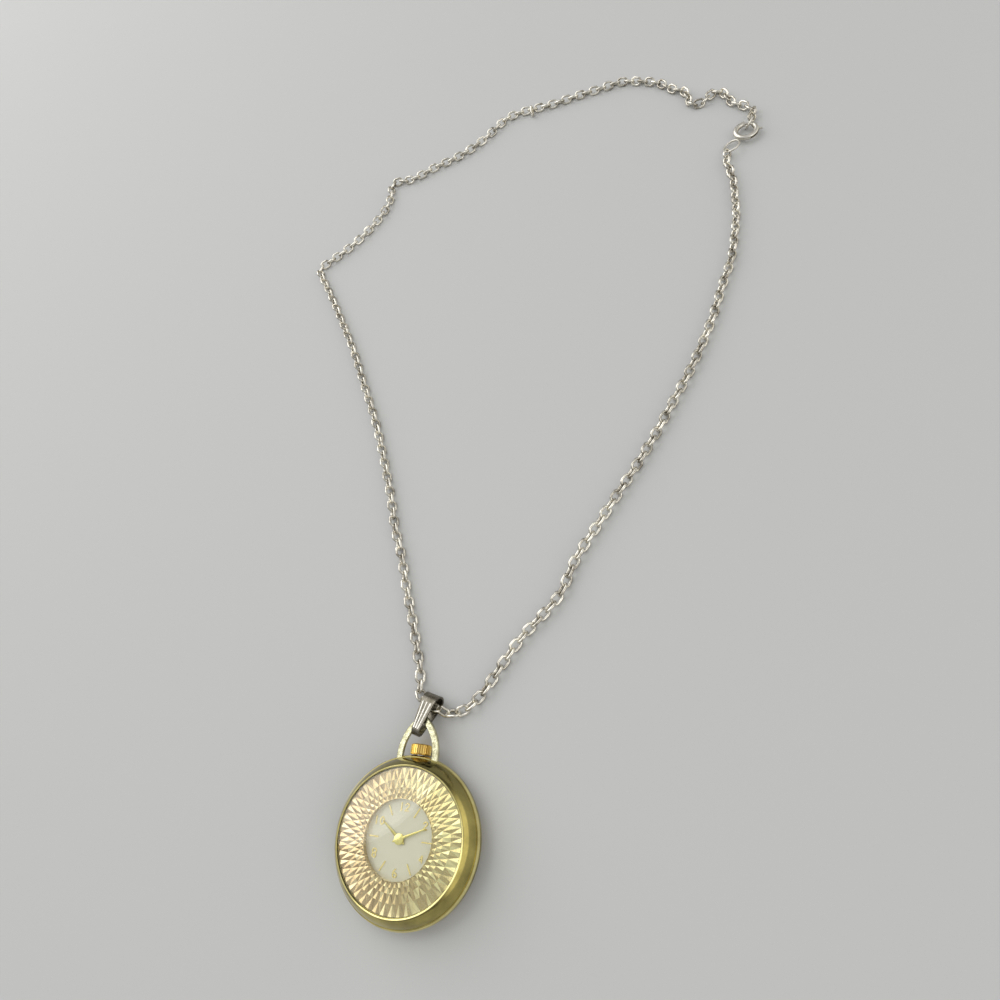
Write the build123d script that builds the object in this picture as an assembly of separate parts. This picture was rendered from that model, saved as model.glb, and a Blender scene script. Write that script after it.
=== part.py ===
"""Pendant watch on a long chain: the case, the movement in it, the arch, the bail and the clasp.

Millimetres, +Z up.  The origin is the centre of the case back's resting face.  The dial faces +Z
and twelve o'clock points along +Y, so the crown, the arch and the bail are on the +Y side.
"""
import os
from math import asin, atan2, cos, degrees, hypot, radians, sin

from build123d import *

os.makedirs("parts", exist_ok=True)

# Clearances that every fit shares
cut_over = 0.5            # how far a cutting tool runs past the face it leaves
running_gap = 0.03        # radial gap of a part that turns in its bore
loose_gap = 0.05          # gap between parts that must not rub
seat_gap = 0.02           # gap of parts that are slid into place and stay

# Case, as turned profiles
case_radius = 17.6
case_wall = 2.4
case_bore_radius = case_radius - case_wall
case_belly_height = 3.1
case_shoulder_height = 4.0
case_rim_inset = 0.3
case_rim_radius = case_radius - case_rim_inset
case_rim_height = 4.6
back_thickness = 0.5
back_flat_inset = 6.6
back_flat_radius = case_radius - back_flat_inset
back_rim_width = 0.6
back_rim_radius = case_bore_radius + back_rim_width
back_edge_height = 1.6
back_lip_radius = case_bore_radius - loose_gap
back_lip_wall = 0.45
back_lip_height = 0.65
gasket_inner = case_bore_radius + 2 * loose_gap
gasket_width = 0.3
gasket_outer = gasket_inner + gasket_width
gasket_height = 0.3

# Bezel, crystal and the faceted ring round the dial
bezel_foot_inset = 0.25
bezel_foot_radius = case_rim_radius - bezel_foot_inset
bezel_bulge_inset = 0.5
bezel_bulge_radius = bezel_foot_radius - bezel_bulge_inset
bezel_bulge_height = 6.4
bezel_slope_width = 1.55
bezel_top_radius = bezel_foot_radius - bezel_slope_width
bezel_top_height = 7.75
bezel_lip_width = 0.5
crystal_radius = bezel_top_radius - bezel_lip_width
bezel_bore_radius = crystal_radius - loose_gap
crystal_seat_width = 0.4
crystal_seat_height = 7.3
crystal_seat_thickness = 0.2
crystal_edge_height = 7.6
crystal_thickness = 0.8
crystal_dome_height = 9.2
facet_ring_inner = 8.1
facet_ring_outer = crystal_radius - crystal_seat_width - loose_gap
facet_ring_inner_thickness = 1.3
facet_ring_outer_thickness = 0.6
facet_count = 30
facet_width = 1.5
facet_depth = 0.2

# Dial, its marks and the hands
dial_radius = 9.2
dial_base = 6.2
dial_thickness = 0.3
dial_top = dial_base + dial_thickness
facet_ring_base = dial_top + loose_gap
dial_hole_radius = 0.85
mark_inner_radius = 5.2
mark_outer_radius = 7.5
mark_width = 0.3
mark_thickness = 0.12
numeral_radius = 6.45
numeral_height = 1.75
numeral_stroke = 0.28
numeral_half_width = 0.43
hand_thickness = 0.12
hand_step = 0.3           # from one hand's underside to the next one's
hour_hand_base = dial_top + mark_thickness + 2 * loose_gap
hour_hand_length = 5.7
hour_hand_width = 0.75
minute_hand_base = hour_hand_base + hand_step
minute_hand_length = 6.6
minute_hand_width = 0.6
hand_tail = 1.5
hand_hub_radius = 1.1
hour_shown = 10
minutes_shown = 11

# Movement: the levels of its layers and the radii of its plates
plate_radius = 9.0
plate_rim_width = 0.8
plate_low = 3.3
plate_high = 4.4
bridge_low = 1.3
bridge_high = 2.2
bridge_inset = 0.1
bridge_split = 0.7        # line between the barrel bridge and the train bridge
bridge_split_gap = 0.1
train_bridge_right = 1.7
train_bridge_corner = -1.2
train_bridge_left = -0.45
train_bridge_foot = -4.2
pallet_bridge_edge = -4.9
pallet_bridge_inner = 1.2
pallet_bridge_outer = 2.1
balance_cock_half = 1.1
winder_low = 1.0
winder_high = 1.46
holder_inner = 9.02
holder_outer = case_bore_radius - loose_gap
holder_low = 2.3
holder_shoulder_radius = facet_ring_outer + loose_gap
holder_shoulder_height = 4.5
pivot_radius = 0.1
arbor_radius = 0.17
jewel_radius = 0.4
jewel_thickness = 0.3
spoke_width = 0.22
spoke_count = 4
spoke_hub_share = 0.26    # hub and rim edges, as shares of the wheel's pitch radius
spoke_rim_share = 0.84
tooth_tip_rise = 0.85     # tip above and root below the pitch circle, in modules
tooth_root_depth = 1.1
tooth_root_half = 0.30    # half widths of a gear tooth, as shares of the tooth's step
tooth_tip_half = 0.12
cog_root_half = 0.28      # the same for square-cut teeth and flutes
cog_tip_half = 0.18

# Going train: tooth counts, modules and levels (low face, thickness)
barrel_teeth = 64
centre_pinion_teeth = 10
barrel_module = 0.1
centre_teeth = 80
third_pinion_teeth = 10
centre_module = 0.066
third_teeth = 75
fourth_pinion_teeth = 10
third_module = 0.055
fourth_teeth = 80
escape_pinion_teeth = 8
fourth_module = 0.045
escape_teeth = 15
escape_radius = 1.2
escape_root_radius = 0.86
escape_root_half = 7.0    # degrees either side of a tooth's middle
escape_tip_from = 4.0
escape_tip_to = 6.0
wheel_thickness = 0.15
centre_level = 2.27
fourth_level = 2.5
escape_level = 2.76
third_level = 3.02
pinion_height = 0.24
barrel_low = 2.6
barrel_high = 3.22
barrel_wall = 0.15
barrel_floor = 0.21
barrel_body_radius = 2.95
barrel_arbor_radius = 0.5
mainspring_strip = 0.14
mainspring_turns = 5
barrel_bearing = 150.0    # bearings in the plan, in degrees from +X towards +Y
third_bearing = 255.0
fourth_bearing = 210.0
escape_bearing = 315.0
pallet_bearing = -5.0
pallet_distance = 1.6
fork_bearing = 30.0
fork_to_balance = 4.2
fork_width = 0.3
pallet_span = 0.95
balance_radius = 2.3
balance_rim = 0.3
balance_low = 2.25
balance_thickness = 0.3
roller_radius = 0.5
hairspring_level = 2.6
hairspring_height = 0.1
hairspring_strip = 0.05
hairspring_turns = 6
hairspring_pitch = 0.15
hairspring_start = 0.4

# Winding and setting work
stem_height = 2.75
stem_radius = 0.45
stem_inner_end = 4.0
stem_square = 0.56
stem_groove_start = 7.2
stem_groove_length = 0.6
stem_groove_radius = 0.24
crown_radius = 2.42
crown_start = case_radius + 3 * loose_gap
crown_thickness = 2.35
crown_flutes = 28
crown_flute_depth = 0.16
tube_outer = 0.82
tube_inner = 0.55
tube_reach = 0.75          # how far the tube stands up into the crown
tube_end = crown_start + tube_reach
tube_start = case_bore_radius + loose_gap
crown_wheel_distance = 4.3
crown_wheel_teeth = 35
ratchet_teeth = 46
winder_module = 0.0995
winding_pinion_radius = 1.24
winding_pinion_teeth = 16
winding_pinion_start = 5.55
winding_pinion_length = 0.85
sliding_pinion_radius = 0.85
sliding_pinion_start = 4.35
sliding_pinion_length = 1.1
lever_pivot_offset = 1.9
lever_width = 0.6
lever_low = 3.45
lever_thickness = 0.2
lever_pin_radius = 0.1
click_length = 1.5
click_width = 0.5
click_bearing = 240.0
click_lean = 70.0
click_spring_width = 0.12

# Motion work under the dial
cannon_teeth = 12
minute_wheel_teeth = 36
cannon_module = 0.1
minute_pinion_teeth = 10
hour_wheel_teeth = 40
hour_module = 0.096
cannon_level = 4.46
cannon_height = 0.22
hour_level = 4.76
hour_height = 0.18
cannon_tube_radius = 0.48
cannon_bore_radius = 0.3
hour_pipe_radius = 0.75
minute_post_radius = 0.2
minute_wheel_bearing = 70.0

# Screws of the movement
screw_head_radius = 0.45
screw_head_height = 0.3
screw_shank_radius = 0.2
screw_slot_width = 0.12
screw_slot_depth = 0.12
screw_slot_angle = 37.0         # degrees from one screw's slot to the next one's
screw_bearings = {"barrel": (25, 60, 125, 175), "train": (200, 245), "pallet": (277,),
                  "balance": (317,)}

# Pendant arch over the crown
arch_foot_outer = 5.17
arch_foot_inner = 3.8
arch_foot_sink = 0.45
arch_foot_reach = case_radius - arch_foot_sink
arch_shoulder_outer = 4.3
arch_shoulder_inner = 3.05
arch_rise = 9.75          # from the feet to the tip, and to the widest turn of each leg
arch_outer_rise = 4.65
arch_inner_rise = 4.15
arch_tip_width = 1.7
arch_tip = arch_foot_reach + arch_rise
arch_low = 3.55
arch_thickness = 1.0
arch_chamfer = 0.18

# Bail: a ribbed strap bent into a drop-shaped loop round the arch and the chain
bail_turn = 16.0          # bearing of the bail's length, in degrees clockwise from +Y
bail_foot = (-0.9, arch_tip - 3.6)
bail_foot_height = 4.05
bail_foot_radius = 1.5
bail_length = 6.25
bail_top_radius = 2.55
bail_strap = 0.42
bail_foot_width = 1.7
bail_top_width = 3.9
bail_rib_radius = 0.32
bail_rib_rise = 0.16
bail_rib_count = 3

# Chain, rings and the spring ring clasp
link_pitch = 2.5
link_wire = 0.7
link_width = 3.0
link_slack = 0.06
link_roll = 45.0
spare_link_place = (7.9, arch_tip + 212.1)   # a loose link hangs on the chain near here
spare_link_lean = 16.0
ring_wire = 0.6
closing_ring_tilt = -60.0
split_ring_tilt = -20.0
clasp_centre = (77.3, arch_tip + 178.1)
clasp_height = 1.5
clasp_tube_radius = 0.75
clasp_ring_radius = 3.0
clasp_bore_radius = 0.5
clasp_eye_radius = 0.75
clasp_eye_wire = 0.5
clasp_eye_bearing = 224.0     # compass bearings, in degrees clockwise from +Y
clasp_gate_bearing = 20.0
clasp_gate_half = 24.0
clasp_bolt_radius = 0.32
clasp_bolt_tail = 70.0
clasp_bolt_overlap = 14.0
clasp_spring_coils = 14
clasp_spring_wire = 0.1
clasp_spring_end = 262.0
bore_over = 1.0           # degrees that the clasp's bore runs past what it holds
clasp_knob_bearing = 92.0
clasp_knob_length = 1.0
clasp_knob_radius = 0.3

# Route of the chain's centre line, from the eye end down the right side, through the bail and up
# the left side to the clasp.  The line is the smooth curve that these points pull along; their
# second value is counted from the arch's tip.
rest = link_wire / 2 + (link_width - link_wire) / 2 * sin(radians(link_roll))
chain_route = [
    (71.9, 171.1, 1.3), (71.0, 168.0, rest), (72.2, 163.6, rest), (73.3, 158.1, rest),
    (73.4, 152.1, rest),
    (73.8, 145.6, rest), (72.9, 136.6, rest), (72.0, 128.1, rest), (69.3, 119.9, rest),
    (67.2, 110.6, rest), (64.1, 101.1, rest), (60.6, 91.9, rest), (56.3, 82.9, rest),
    (52.1, 73.5, rest), (47.4, 64.6, rest), (42.4, 56.0, rest), (37.7, 47.5, rest),
    (32.6, 38.7, rest), (30.7, 31.0, rest), (26.2, 25.3, rest), (21.1, 19.7, rest),
    (16.4, 11.8, rest), (12.8, 5.4, rest), (9.2, 1.7, rest), (5.4, 0.4, 1.3),
    (2.2, 1.8, 1.85), (-0.9, 2.7, 1.95), (-3.1, 4.3, 1.7), (-3.5, 7.1, 1.25),
    (-4.0, 10.3, rest), (-5.8, 15.1, rest), (-8.2, 22.6, rest), (-11.9, 31.6, rest),
    (-15.1, 41.4, rest), (-18.9, 49.6, rest), (-21.2, 57.3, rest), (-24.4, 65.9, rest),
    (-28.3, 75.7, rest), (-32.0, 84.8, rest), (-38.9, 98.3, rest), (-45.6, 112.3, rest),
    (-53.2, 125.6, rest), (-60.6, 138.1, rest), (-65.9, 146.5, rest), (-69.7, 152.2, rest),
    (-64.6, 155.3, rest), (-58.6, 159.7, rest), (-52.3, 166.4, rest), (-47.3, 174.1, rest),
    (-45.3, 181.5, rest), (-47.0, 187.7, rest), (-44.0, 190.1, rest), (-39.8, 188.4, rest),
    (-34.6, 190.3, rest), (-29.8, 193.0, rest), (-22.2, 195.0, rest), (-14.9, 199.1, rest),
    (-9.0, 204.6, rest), (-3.8, 211.5, rest), (4.5, 212.3, rest), (13.5, 212.2, rest),
    (22.0, 213.9, rest), (31.0, 214.5, rest), (37.2, 216.1, rest), (45.2, 213.1, rest),
    (51.4, 210.0, rest), (55.2, 204.9, rest), (59.2, 203.7, rest), (60.2, 199.7, rest),
    (60.4, 196.3, rest), (64.0, 194.7, rest), (66.0, 197.5, rest), (68.6, 200.1, rest),
    (71.8, 197.9, rest), (72.7, 193.3, rest), (76.1, 190.7, rest), (79.5, 188.1, rest),
    (79.9, 185.1, 1.3), (78.75, 182.6, 1.55)]


def save(name, *solids):
    """Write one node from its solids."""
    shape = solids[0] if len(solids) == 1 else Compound(children=list(solids))
    export_step(shape, "parts/" + name + ".step")


def turned(*edges):
    """Revolve a closed outline of (radius, height) edges about the watch's axis."""
    return revolve(Plane.XZ * make_face(Curve() + list(edges)), Axis.Z)


def outline(*points):
    """Revolve a straight-sided outline of (radius, height) points about the watch's axis."""
    return revolve(Plane.XZ * make_face(Polyline(*points, close=True)), Axis.Z)


def disc(radius, low, high, place=(0, 0)):
    """A round disc or rod standing between two heights."""
    base = Pos(place[0], place[1], low)
    return base * Cylinder(radius, high - low, align=(Align.CENTER, Align.CENTER, Align.MIN))


def tube(outer, inner, low, high, place=(0, 0)):
    """A round ring standing between two heights."""
    return disc(outer, low, high, place) - disc(inner, low - cut_over, high + cut_over, place)


def block(x_low, x_high, y_low, y_high, z_low, z_high):
    """A box between its lowest and highest corners."""
    corner = (Align.MIN, Align.MIN, Align.MIN)
    return Pos(x_low, y_low, z_low) * Box(x_high - x_low, y_high - y_low, z_high - z_low, align=corner)


def along_stem(radius, start, end):
    """A round rod on the stem's axis, between two distances from the watch's axis."""
    base = Pos(0, start, stem_height) * Rot(-90, 0, 0)
    return base * Cylinder(radius, end - start, align=(Align.CENTER, Align.CENTER, Align.MIN))


def polar(radius, angle):
    """A point of the plan, at an angle in degrees from +X towards +Y."""
    return radius * cos(radians(angle)), radius * sin(radians(angle))


def step_from(place, distance, angle):
    """The point that lies a distance away from a place, at an angle in degrees."""
    reach = polar(distance, angle)
    return place[0] + reach[0], place[1] + reach[1]


def bearing_between(first, second):
    """Angle in degrees of the line from one place to another."""
    return degrees(atan2(second[1] - first[1], second[0] - first[0]))


# CASE

case_back = turned(
    Line((0, 0), (back_flat_radius, 0)),
    ThreePointArc((back_flat_radius, 0),
                  ((back_flat_radius + back_rim_radius) / 2 + back_thickness, back_thickness),
                  (back_rim_radius, back_edge_height - seat_gap)),
    Polyline((back_rim_radius, back_edge_height - seat_gap), (back_rim_radius, back_edge_height),
             (back_lip_radius, back_edge_height),
             (back_lip_radius, back_edge_height + back_lip_height),
             (back_lip_radius - back_lip_wall, back_edge_height + back_lip_height),
             (back_lip_radius - back_lip_wall, back_edge_height)),
    ThreePointArc((back_lip_radius - back_lip_wall, back_edge_height),
                  ((back_flat_radius + back_lip_radius) / 2, 2 * back_thickness),
                  (back_flat_radius, back_thickness)),
    Polyline((back_flat_radius, back_thickness), (0, back_thickness), (0, 0)))
save("case_back", case_back)

back_gasket = tube(gasket_outer, gasket_inner, back_edge_height, back_edge_height + gasket_height)
save("back_gasket", back_gasket)

case_solid = turned(
    Polyline((0, case_rim_height), (0, back_edge_height), (back_rim_radius, back_edge_height)),
    ThreePointArc((back_rim_radius, back_edge_height),
                  ((back_rim_radius + case_radius) / 2 + back_thickness,
                   (back_edge_height + case_belly_height) / 2),
                  (case_radius, case_belly_height)),
    Polyline((case_radius, case_belly_height), (case_radius, case_shoulder_height),
             (case_rim_radius, case_rim_height), (0, case_rim_height)))
case_middle = case_solid - disc(case_bore_radius, 0, case_rim_height + cut_over)
case_middle -= tube(gasket_outer, gasket_inner, 0, back_edge_height + gasket_height)
case_middle -= along_stem(tube_outer, 0, crown_start + cut_over)
save("case_middle", case_middle)

bezel = turned(
    ThreePointArc((bezel_foot_radius, case_rim_height), (bezel_bulge_radius, bezel_bulge_height),
                  (bezel_top_radius, bezel_top_height)),
    Polyline((bezel_top_radius, bezel_top_height),
             (crystal_radius + seat_gap, crystal_edge_height + seat_gap),
             (crystal_radius + seat_gap, crystal_seat_height),
             (crystal_radius - crystal_seat_width, crystal_seat_height),
             (crystal_radius - crystal_seat_width, crystal_seat_height - crystal_seat_thickness),
             (bezel_bore_radius, crystal_seat_height - 2 * crystal_seat_thickness),
             (bezel_bore_radius, case_rim_height), (bezel_foot_radius, case_rim_height)))
save("bezel", bezel)


def dome(radius, low, high):
    """A sphere's outline from its top on the axis down to a rim."""
    sphere = (radius ** 2 + (high - low) ** 2) / (2 * (high - low))
    half = asin(radius / sphere) / 2
    middle = (sphere * sin(half), high - sphere + sphere * cos(half))
    return ThreePointArc((0, high), middle, (radius, low))


crystal = turned(
    Line((0, crystal_dome_height - crystal_thickness), (0, crystal_dome_height)),
    dome(crystal_radius, crystal_edge_height, crystal_dome_height),
    Polyline((crystal_radius, crystal_edge_height), (crystal_radius, crystal_seat_height),
             (crystal_radius - crystal_seat_width, crystal_seat_height)),
    dome(crystal_radius - crystal_seat_width, crystal_seat_height,
         crystal_dome_height - crystal_thickness))
save("crystal", crystal)

# FACETED RING

ring_top_inner = facet_ring_base + facet_ring_inner_thickness
ring_top_outer = facet_ring_base + facet_ring_outer_thickness
facet_ring = outline((facet_ring_inner, facet_ring_base), (facet_ring_outer, facet_ring_base),
                     (facet_ring_outer, ring_top_outer), (facet_ring_inner, ring_top_inner))
ring_width = facet_ring_outer - facet_ring_inner
ring_rise = facet_ring_outer_thickness - facet_ring_inner_thickness
groove_half = facet_width / 2 * (facet_depth + cut_over) / facet_depth
groove_start = Plane(origin=(facet_ring_inner - ring_width, 0, ring_top_inner - ring_rise),
                     x_dir=(0, 1, 0), z_dir=(ring_width, 0, ring_rise))
groove = extrude(groove_start * make_face(Polyline(
    (-groove_half, cut_over), (groove_half, cut_over), (0, -facet_depth), close=True)), 3 * ring_width)
facet_ring -= [Rot(0, 0, 360 / facet_count * i) * groove for i in range(facet_count)]
save("facet_ring", facet_ring)

# DIAL AND HANDS

dial = tube(dial_radius, dial_hole_radius, dial_base, dial_top)
save("dial", dial)

odd_hours = range(1, 12, 2)
baton = block(-mark_width / 2, mark_width / 2, mark_inner_radius, mark_outer_radius,
              dial_top, dial_top + mark_thickness)
save("hour_batons", *[Rot(0, 0, -30 * hour) * baton for hour in odd_hours])

stroke = numeral_stroke
digit_half = numeral_half_width
digit_top = (numeral_height - stroke) / 2


def bowl(height):
    """A round stroke of a digit, a circle standing at some height."""
    return Pos(0, height) * (Circle(digit_half + stroke / 2) - Circle(digit_half - stroke / 2))


digits = {
    "0": Ellipse(digit_half + stroke / 2, digit_top + stroke / 2)
    - Ellipse(digit_half - stroke / 2, digit_top - stroke / 2),
    "1": Rectangle(stroke, 2 * digit_top + stroke),
    "2": trace([ThreePointArc((-digit_half, digit_top - digit_half), (0, digit_top),
                              (digit_half, digit_top - digit_half)),
                Line((digit_half, digit_top - digit_half), (-digit_half, -digit_top)),
                Line((-digit_half, -digit_top), (digit_half, -digit_top))], line_width=stroke),
    "4": trace(Line((digit_half / 2, -digit_top), (digit_half / 2, digit_top)), line_width=stroke)
    + trace(Line((digit_half / 2, digit_top), (-digit_half, -digit_top / 3)), line_width=stroke)
    + trace(Line((-digit_half, -digit_top / 3), (digit_half, -digit_top / 3)), line_width=stroke),
    "6": bowl(-digit_half) + trace(ThreePointArc((-digit_half, -digit_half),
                                                 (-digit_half / 2, digit_half),
                                                 (digit_half / 2, digit_top)), line_width=stroke),
    "8": bowl(-digit_half) + bowl(digit_half)}


def numeral(hour):
    """An hour's number as raised strokes, centred on its place of the dial."""
    characters = str(hour)
    advance = 2 * digit_half + 2 * stroke
    shape = Sketch()
    for i, character in enumerate(characters):
        shape += Pos((i - (len(characters) - 1) / 2) * advance, 0) * digits[character]
    across, up = polar(numeral_radius, 90 - 30 * hour)
    return extrude(Pos(across, up, dial_top) * shape, mark_thickness)


save("hour_numerals", *[solid for hour in range(2, 13, 2) for solid in numeral(hour).solids()])


def hand(length, width, low, hub_hole):
    """A tapered hand with a tail and a round hub, pointing at twelve."""
    blade = Polyline((-width / 2, 0), (-width / 4, length - width), (0, length),
                     (width / 4, length - width), (width / 2, 0), (width / 4, -hand_tail),
                     (-width / 4, -hand_tail), close=True)
    shape = extrude(Pos(0, 0, low) * make_face(blade), hand_thickness)
    shape += disc(hand_hub_radius, low, low + hand_thickness)
    return shape - disc(hub_hole, low - cut_over, low + hand_thickness + cut_over)


minute_angle = -6 * minutes_shown
hour_angle = -30 * (hour_shown + minutes_shown / 60)
hour_hand = Rot(0, 0, hour_angle) * hand(hour_hand_length, hour_hand_width, hour_hand_base,
                                         hour_pipe_radius)
save("hour_hand", hour_hand)
minute_hand = Rot(0, 0, minute_angle) * hand(minute_hand_length, minute_hand_width,
                                             minute_hand_base, cannon_tube_radius)
save("minute_hand", minute_hand)

# MOVEMENT: WHERE ITS PIVOTS STAND

centre_place = (0, 0)
barrel_place = polar((barrel_teeth + centre_pinion_teeth) * barrel_module / 2, barrel_bearing)
third_place = polar((centre_teeth + third_pinion_teeth) * centre_module / 2, third_bearing)
fourth_place = step_from(third_place, (third_teeth + fourth_pinion_teeth) * third_module / 2,
                         fourth_bearing)
escape_place = step_from(fourth_place, (fourth_teeth + escape_pinion_teeth) * fourth_module / 2,
                         escape_bearing)
pallet_place = step_from(escape_place, pallet_distance, pallet_bearing)
balance_place = step_from(pallet_place, fork_to_balance, fork_bearing)
minute_wheel_place = polar((cannon_teeth + minute_wheel_teeth) * cannon_module / 2,
                           minute_wheel_bearing)
crown_wheel_place = (0, crown_wheel_distance)
ratchet_radius = ratchet_teeth * winder_module / 2
crown_wheel_radius = crown_wheel_teeth * winder_module / 2
click_tip = step_from(barrel_place, ratchet_radius + 2 * running_gap, click_bearing)
click_pivot = step_from(click_tip, click_length, click_bearing - click_lean)
click_line = bearing_between(click_pivot, click_tip)
lever_pivot = (lever_pivot_offset, stem_groove_start + stem_groove_length / 2)
train_places = [third_place, fourth_place, escape_place, pallet_place, balance_place]
plate_rim_inner = plate_radius - plate_rim_width
bridge_radius = plate_radius - bridge_inset
notch_half = winding_pinion_radius + 2 * loose_gap
notch_start = sliding_pinion_start - 4 * loose_gap


def gear(teeth, module, low, high, place, turn=0.0):
    """A spur gear with straight-sided teeth; one tooth points at the turn angle."""
    pitch_radius = teeth * module / 2
    tip, root = pitch_radius + tooth_tip_rise * module, pitch_radius - tooth_root_depth * module
    step = 360 / teeth
    points = []
    for tooth in range(teeth):
        middle = turn + tooth * step
        points += [polar(root, middle - tooth_root_half * step), polar(tip, middle - tooth_tip_half * step),
                   polar(tip, middle + tooth_tip_half * step), polar(root, middle + tooth_root_half * step)]
    return extrude(Pos(place[0], place[1], low) * make_face(Polyline(*points, close=True)), high - low)


def meshed(turn, teeth, bearing, mate_teeth):
    """Turn of a mating gear whose gap takes the tooth that lies nearest the line between them."""
    step = 360 / teeth
    share = ((bearing - turn) % step) / step
    return bearing + 180 + (share + 0.5) * 360 / mate_teeth


def spokes(radius, low, high, place):
    """Cutters that leave a wheel's rim, hub and spokes."""
    cross = tube(radius * spoke_rim_share, radius * spoke_hub_share, low - cut_over, high + cut_over,
                 place)
    for i in range(spoke_count):
        arm = Rot(0, 0, 360 / spoke_count * i) * block(0, radius, -spoke_width / 2, spoke_width / 2,
                                                       low - cut_over, high + cut_over)
        cross -= Pos(place[0], place[1], 0) * arm
    return cross


def jewel(low, place):
    """A pierced jewel that a pivot turns in."""
    return tube(jewel_radius, pivot_radius + running_gap, low, low + jewel_thickness, place)


jewel_low = plate_low
jewel_high = bridge_high - jewel_thickness

# MAIN PLATE AND BRIDGES

main_plate = disc(plate_radius, plate_low, plate_high)
main_plate += tube(plate_radius, plate_rim_inner, bridge_high, plate_low)
main_plate += tube(plate_radius, plate_rim_inner, plate_high, dial_base)
main_plate -= block(-notch_half, notch_half, notch_start, plate_radius + cut_over,
                    bridge_high - cut_over, stem_height + notch_half)
main_plate -= block(-notch_half, lever_pivot_offset + lever_width, stem_groove_start - lever_width,
                    stem_groove_start + lever_width + stem_groove_length,
                    plate_low - cut_over, lever_low + lever_thickness + loose_gap)
main_plate -= disc(cannon_tube_radius + loose_gap, plate_low - cut_over, plate_high + cut_over)
main_plate -= [disc(jewel_radius, plate_low - cut_over, plate_low + jewel_thickness, place)
               for place in train_places]
main_plate -= disc(pivot_radius + running_gap, plate_low - cut_over, plate_low + jewel_thickness,
                   barrel_place)
main_plate += disc(minute_post_radius, plate_high, dial_base - loose_gap, minute_wheel_place)

screw_circle = plate_radius - plate_rim_width / 2
screw_places = {name: [polar(screw_circle, bearing) for bearing in bearings]
                for name, bearings in screw_bearings.items()}
all_screws = [place for places in screw_places.values() for place in places]
main_plate -= [disc(screw_shank_radius, bridge_high - cut_over, plate_low, place)
               for place in all_screws]
main_plate -= disc(screw_shank_radius, plate_low - cut_over, plate_high + cut_over, lever_pivot)
save("main_plate", main_plate)


def bridge(name, *corners):
    """A bridge: a slab cut to its corners and to the plate's round edge, with its screw holes."""
    slab = extrude(Pos(0, 0, bridge_low) * make_face(Polyline(*corners, close=True)),
                   bridge_high - bridge_low)
    slab &= disc(bridge_radius, bridge_low, bridge_high)
    for place in screw_places[name]:
        slab -= disc(screw_shank_radius + running_gap, bridge_low - cut_over,
                     bridge_high + cut_over, place)
    return slab


reach = plate_radius
barrel_bridge = bridge("barrel", (-reach, bridge_split), (reach, bridge_split), (reach, reach),
                       (-reach, reach))
recess_top = winder_high + 2 * seat_gap
barrel_bridge -= disc(ratchet_radius + 4 * loose_gap, bridge_low - cut_over, recess_top, barrel_place)
barrel_bridge -= disc(crown_wheel_radius + 4 * loose_gap, bridge_low - cut_over, recess_top,
                      crown_wheel_place)
barrel_bridge -= block(-notch_half, notch_half, winding_pinion_start - loose_gap,
                       plate_radius + cut_over, bridge_low - cut_over, bridge_high + cut_over)
barrel_bridge -= block(-notch_half, notch_half, notch_start, winding_pinion_start,
                       stem_height - sliding_pinion_radius - loose_gap, bridge_high + cut_over)
barrel_bridge -= disc(barrel_arbor_radius + running_gap, bridge_low - cut_over,
                      bridge_high + cut_over, barrel_place)
save("barrel_bridge", barrel_bridge)

train_bridge = bridge("train", (-reach, bridge_split - bridge_split_gap),
                      (train_bridge_right, bridge_split - bridge_split_gap),
                      (train_bridge_right, train_bridge_corner), (train_bridge_left, train_bridge_foot),
                      (train_bridge_left, -reach), (-reach, -reach))
train_bridge -= disc(ratchet_radius + 4 * loose_gap, bridge_low - cut_over, recess_top, barrel_place)
train_bridge -= [disc(jewel_radius, jewel_high, bridge_high + cut_over, place)
                 for place in (centre_place, third_place, fourth_place, escape_place)]
train_bridge -= disc(screw_shank_radius, bridge_low - cut_over, bridge_high + cut_over, click_pivot)
save("train_bridge", train_bridge)

pallet_bridge_left = train_bridge_left + bridge_split_gap
pallet_bridge = bridge("pallet", (pallet_bridge_left, pallet_bridge_edge), (pallet_bridge_left, -reach),
                       (pallet_bridge_outer, -reach), (pallet_bridge_inner, pallet_bridge_edge))
pallet_bridge -= disc(jewel_radius, jewel_high, bridge_high + cut_over, pallet_place)
save("pallet_bridge", pallet_bridge)

cock_bearing = degrees(atan2(balance_place[1], balance_place[0]))
cock_reach = hypot(*balance_place)
balance_cock = Rot(0, 0, cock_bearing) * block(cock_reach, reach, -balance_cock_half,
                                               balance_cock_half, bridge_low, bridge_high)
balance_cock += disc(balance_cock_half, bridge_low, bridge_high, balance_place)
balance_cock &= disc(bridge_radius, bridge_low, bridge_high)
balance_cock -= disc(jewel_radius, jewel_high, bridge_high + cut_over, balance_place)
balance_cock -= [disc(screw_shank_radius + running_gap, bridge_low - cut_over,
                      bridge_high + cut_over, place) for place in screw_places["balance"]]
save("balance_cock", balance_cock)

screw = disc(screw_head_radius, bridge_low - screw_head_height, bridge_low)
screw += disc(screw_shank_radius, bridge_low, plate_low)
screw -= block(-reach, reach, -screw_slot_width / 2, screw_slot_width / 2,
               bridge_low - screw_head_height - cut_over,
               bridge_low - screw_head_height + screw_slot_depth)
save("bridge_screws", *[Pos(x, y, 0) * Rot(0, 0, screw_slot_angle * i) * screw
                        for i, (x, y) in enumerate(all_screws)])

jewels = [jewel(jewel_low, place) for place in train_places]
jewels += [jewel(jewel_high, place) for place in [centre_place] + train_places]
save("jewel_bearings", *jewels)

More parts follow.
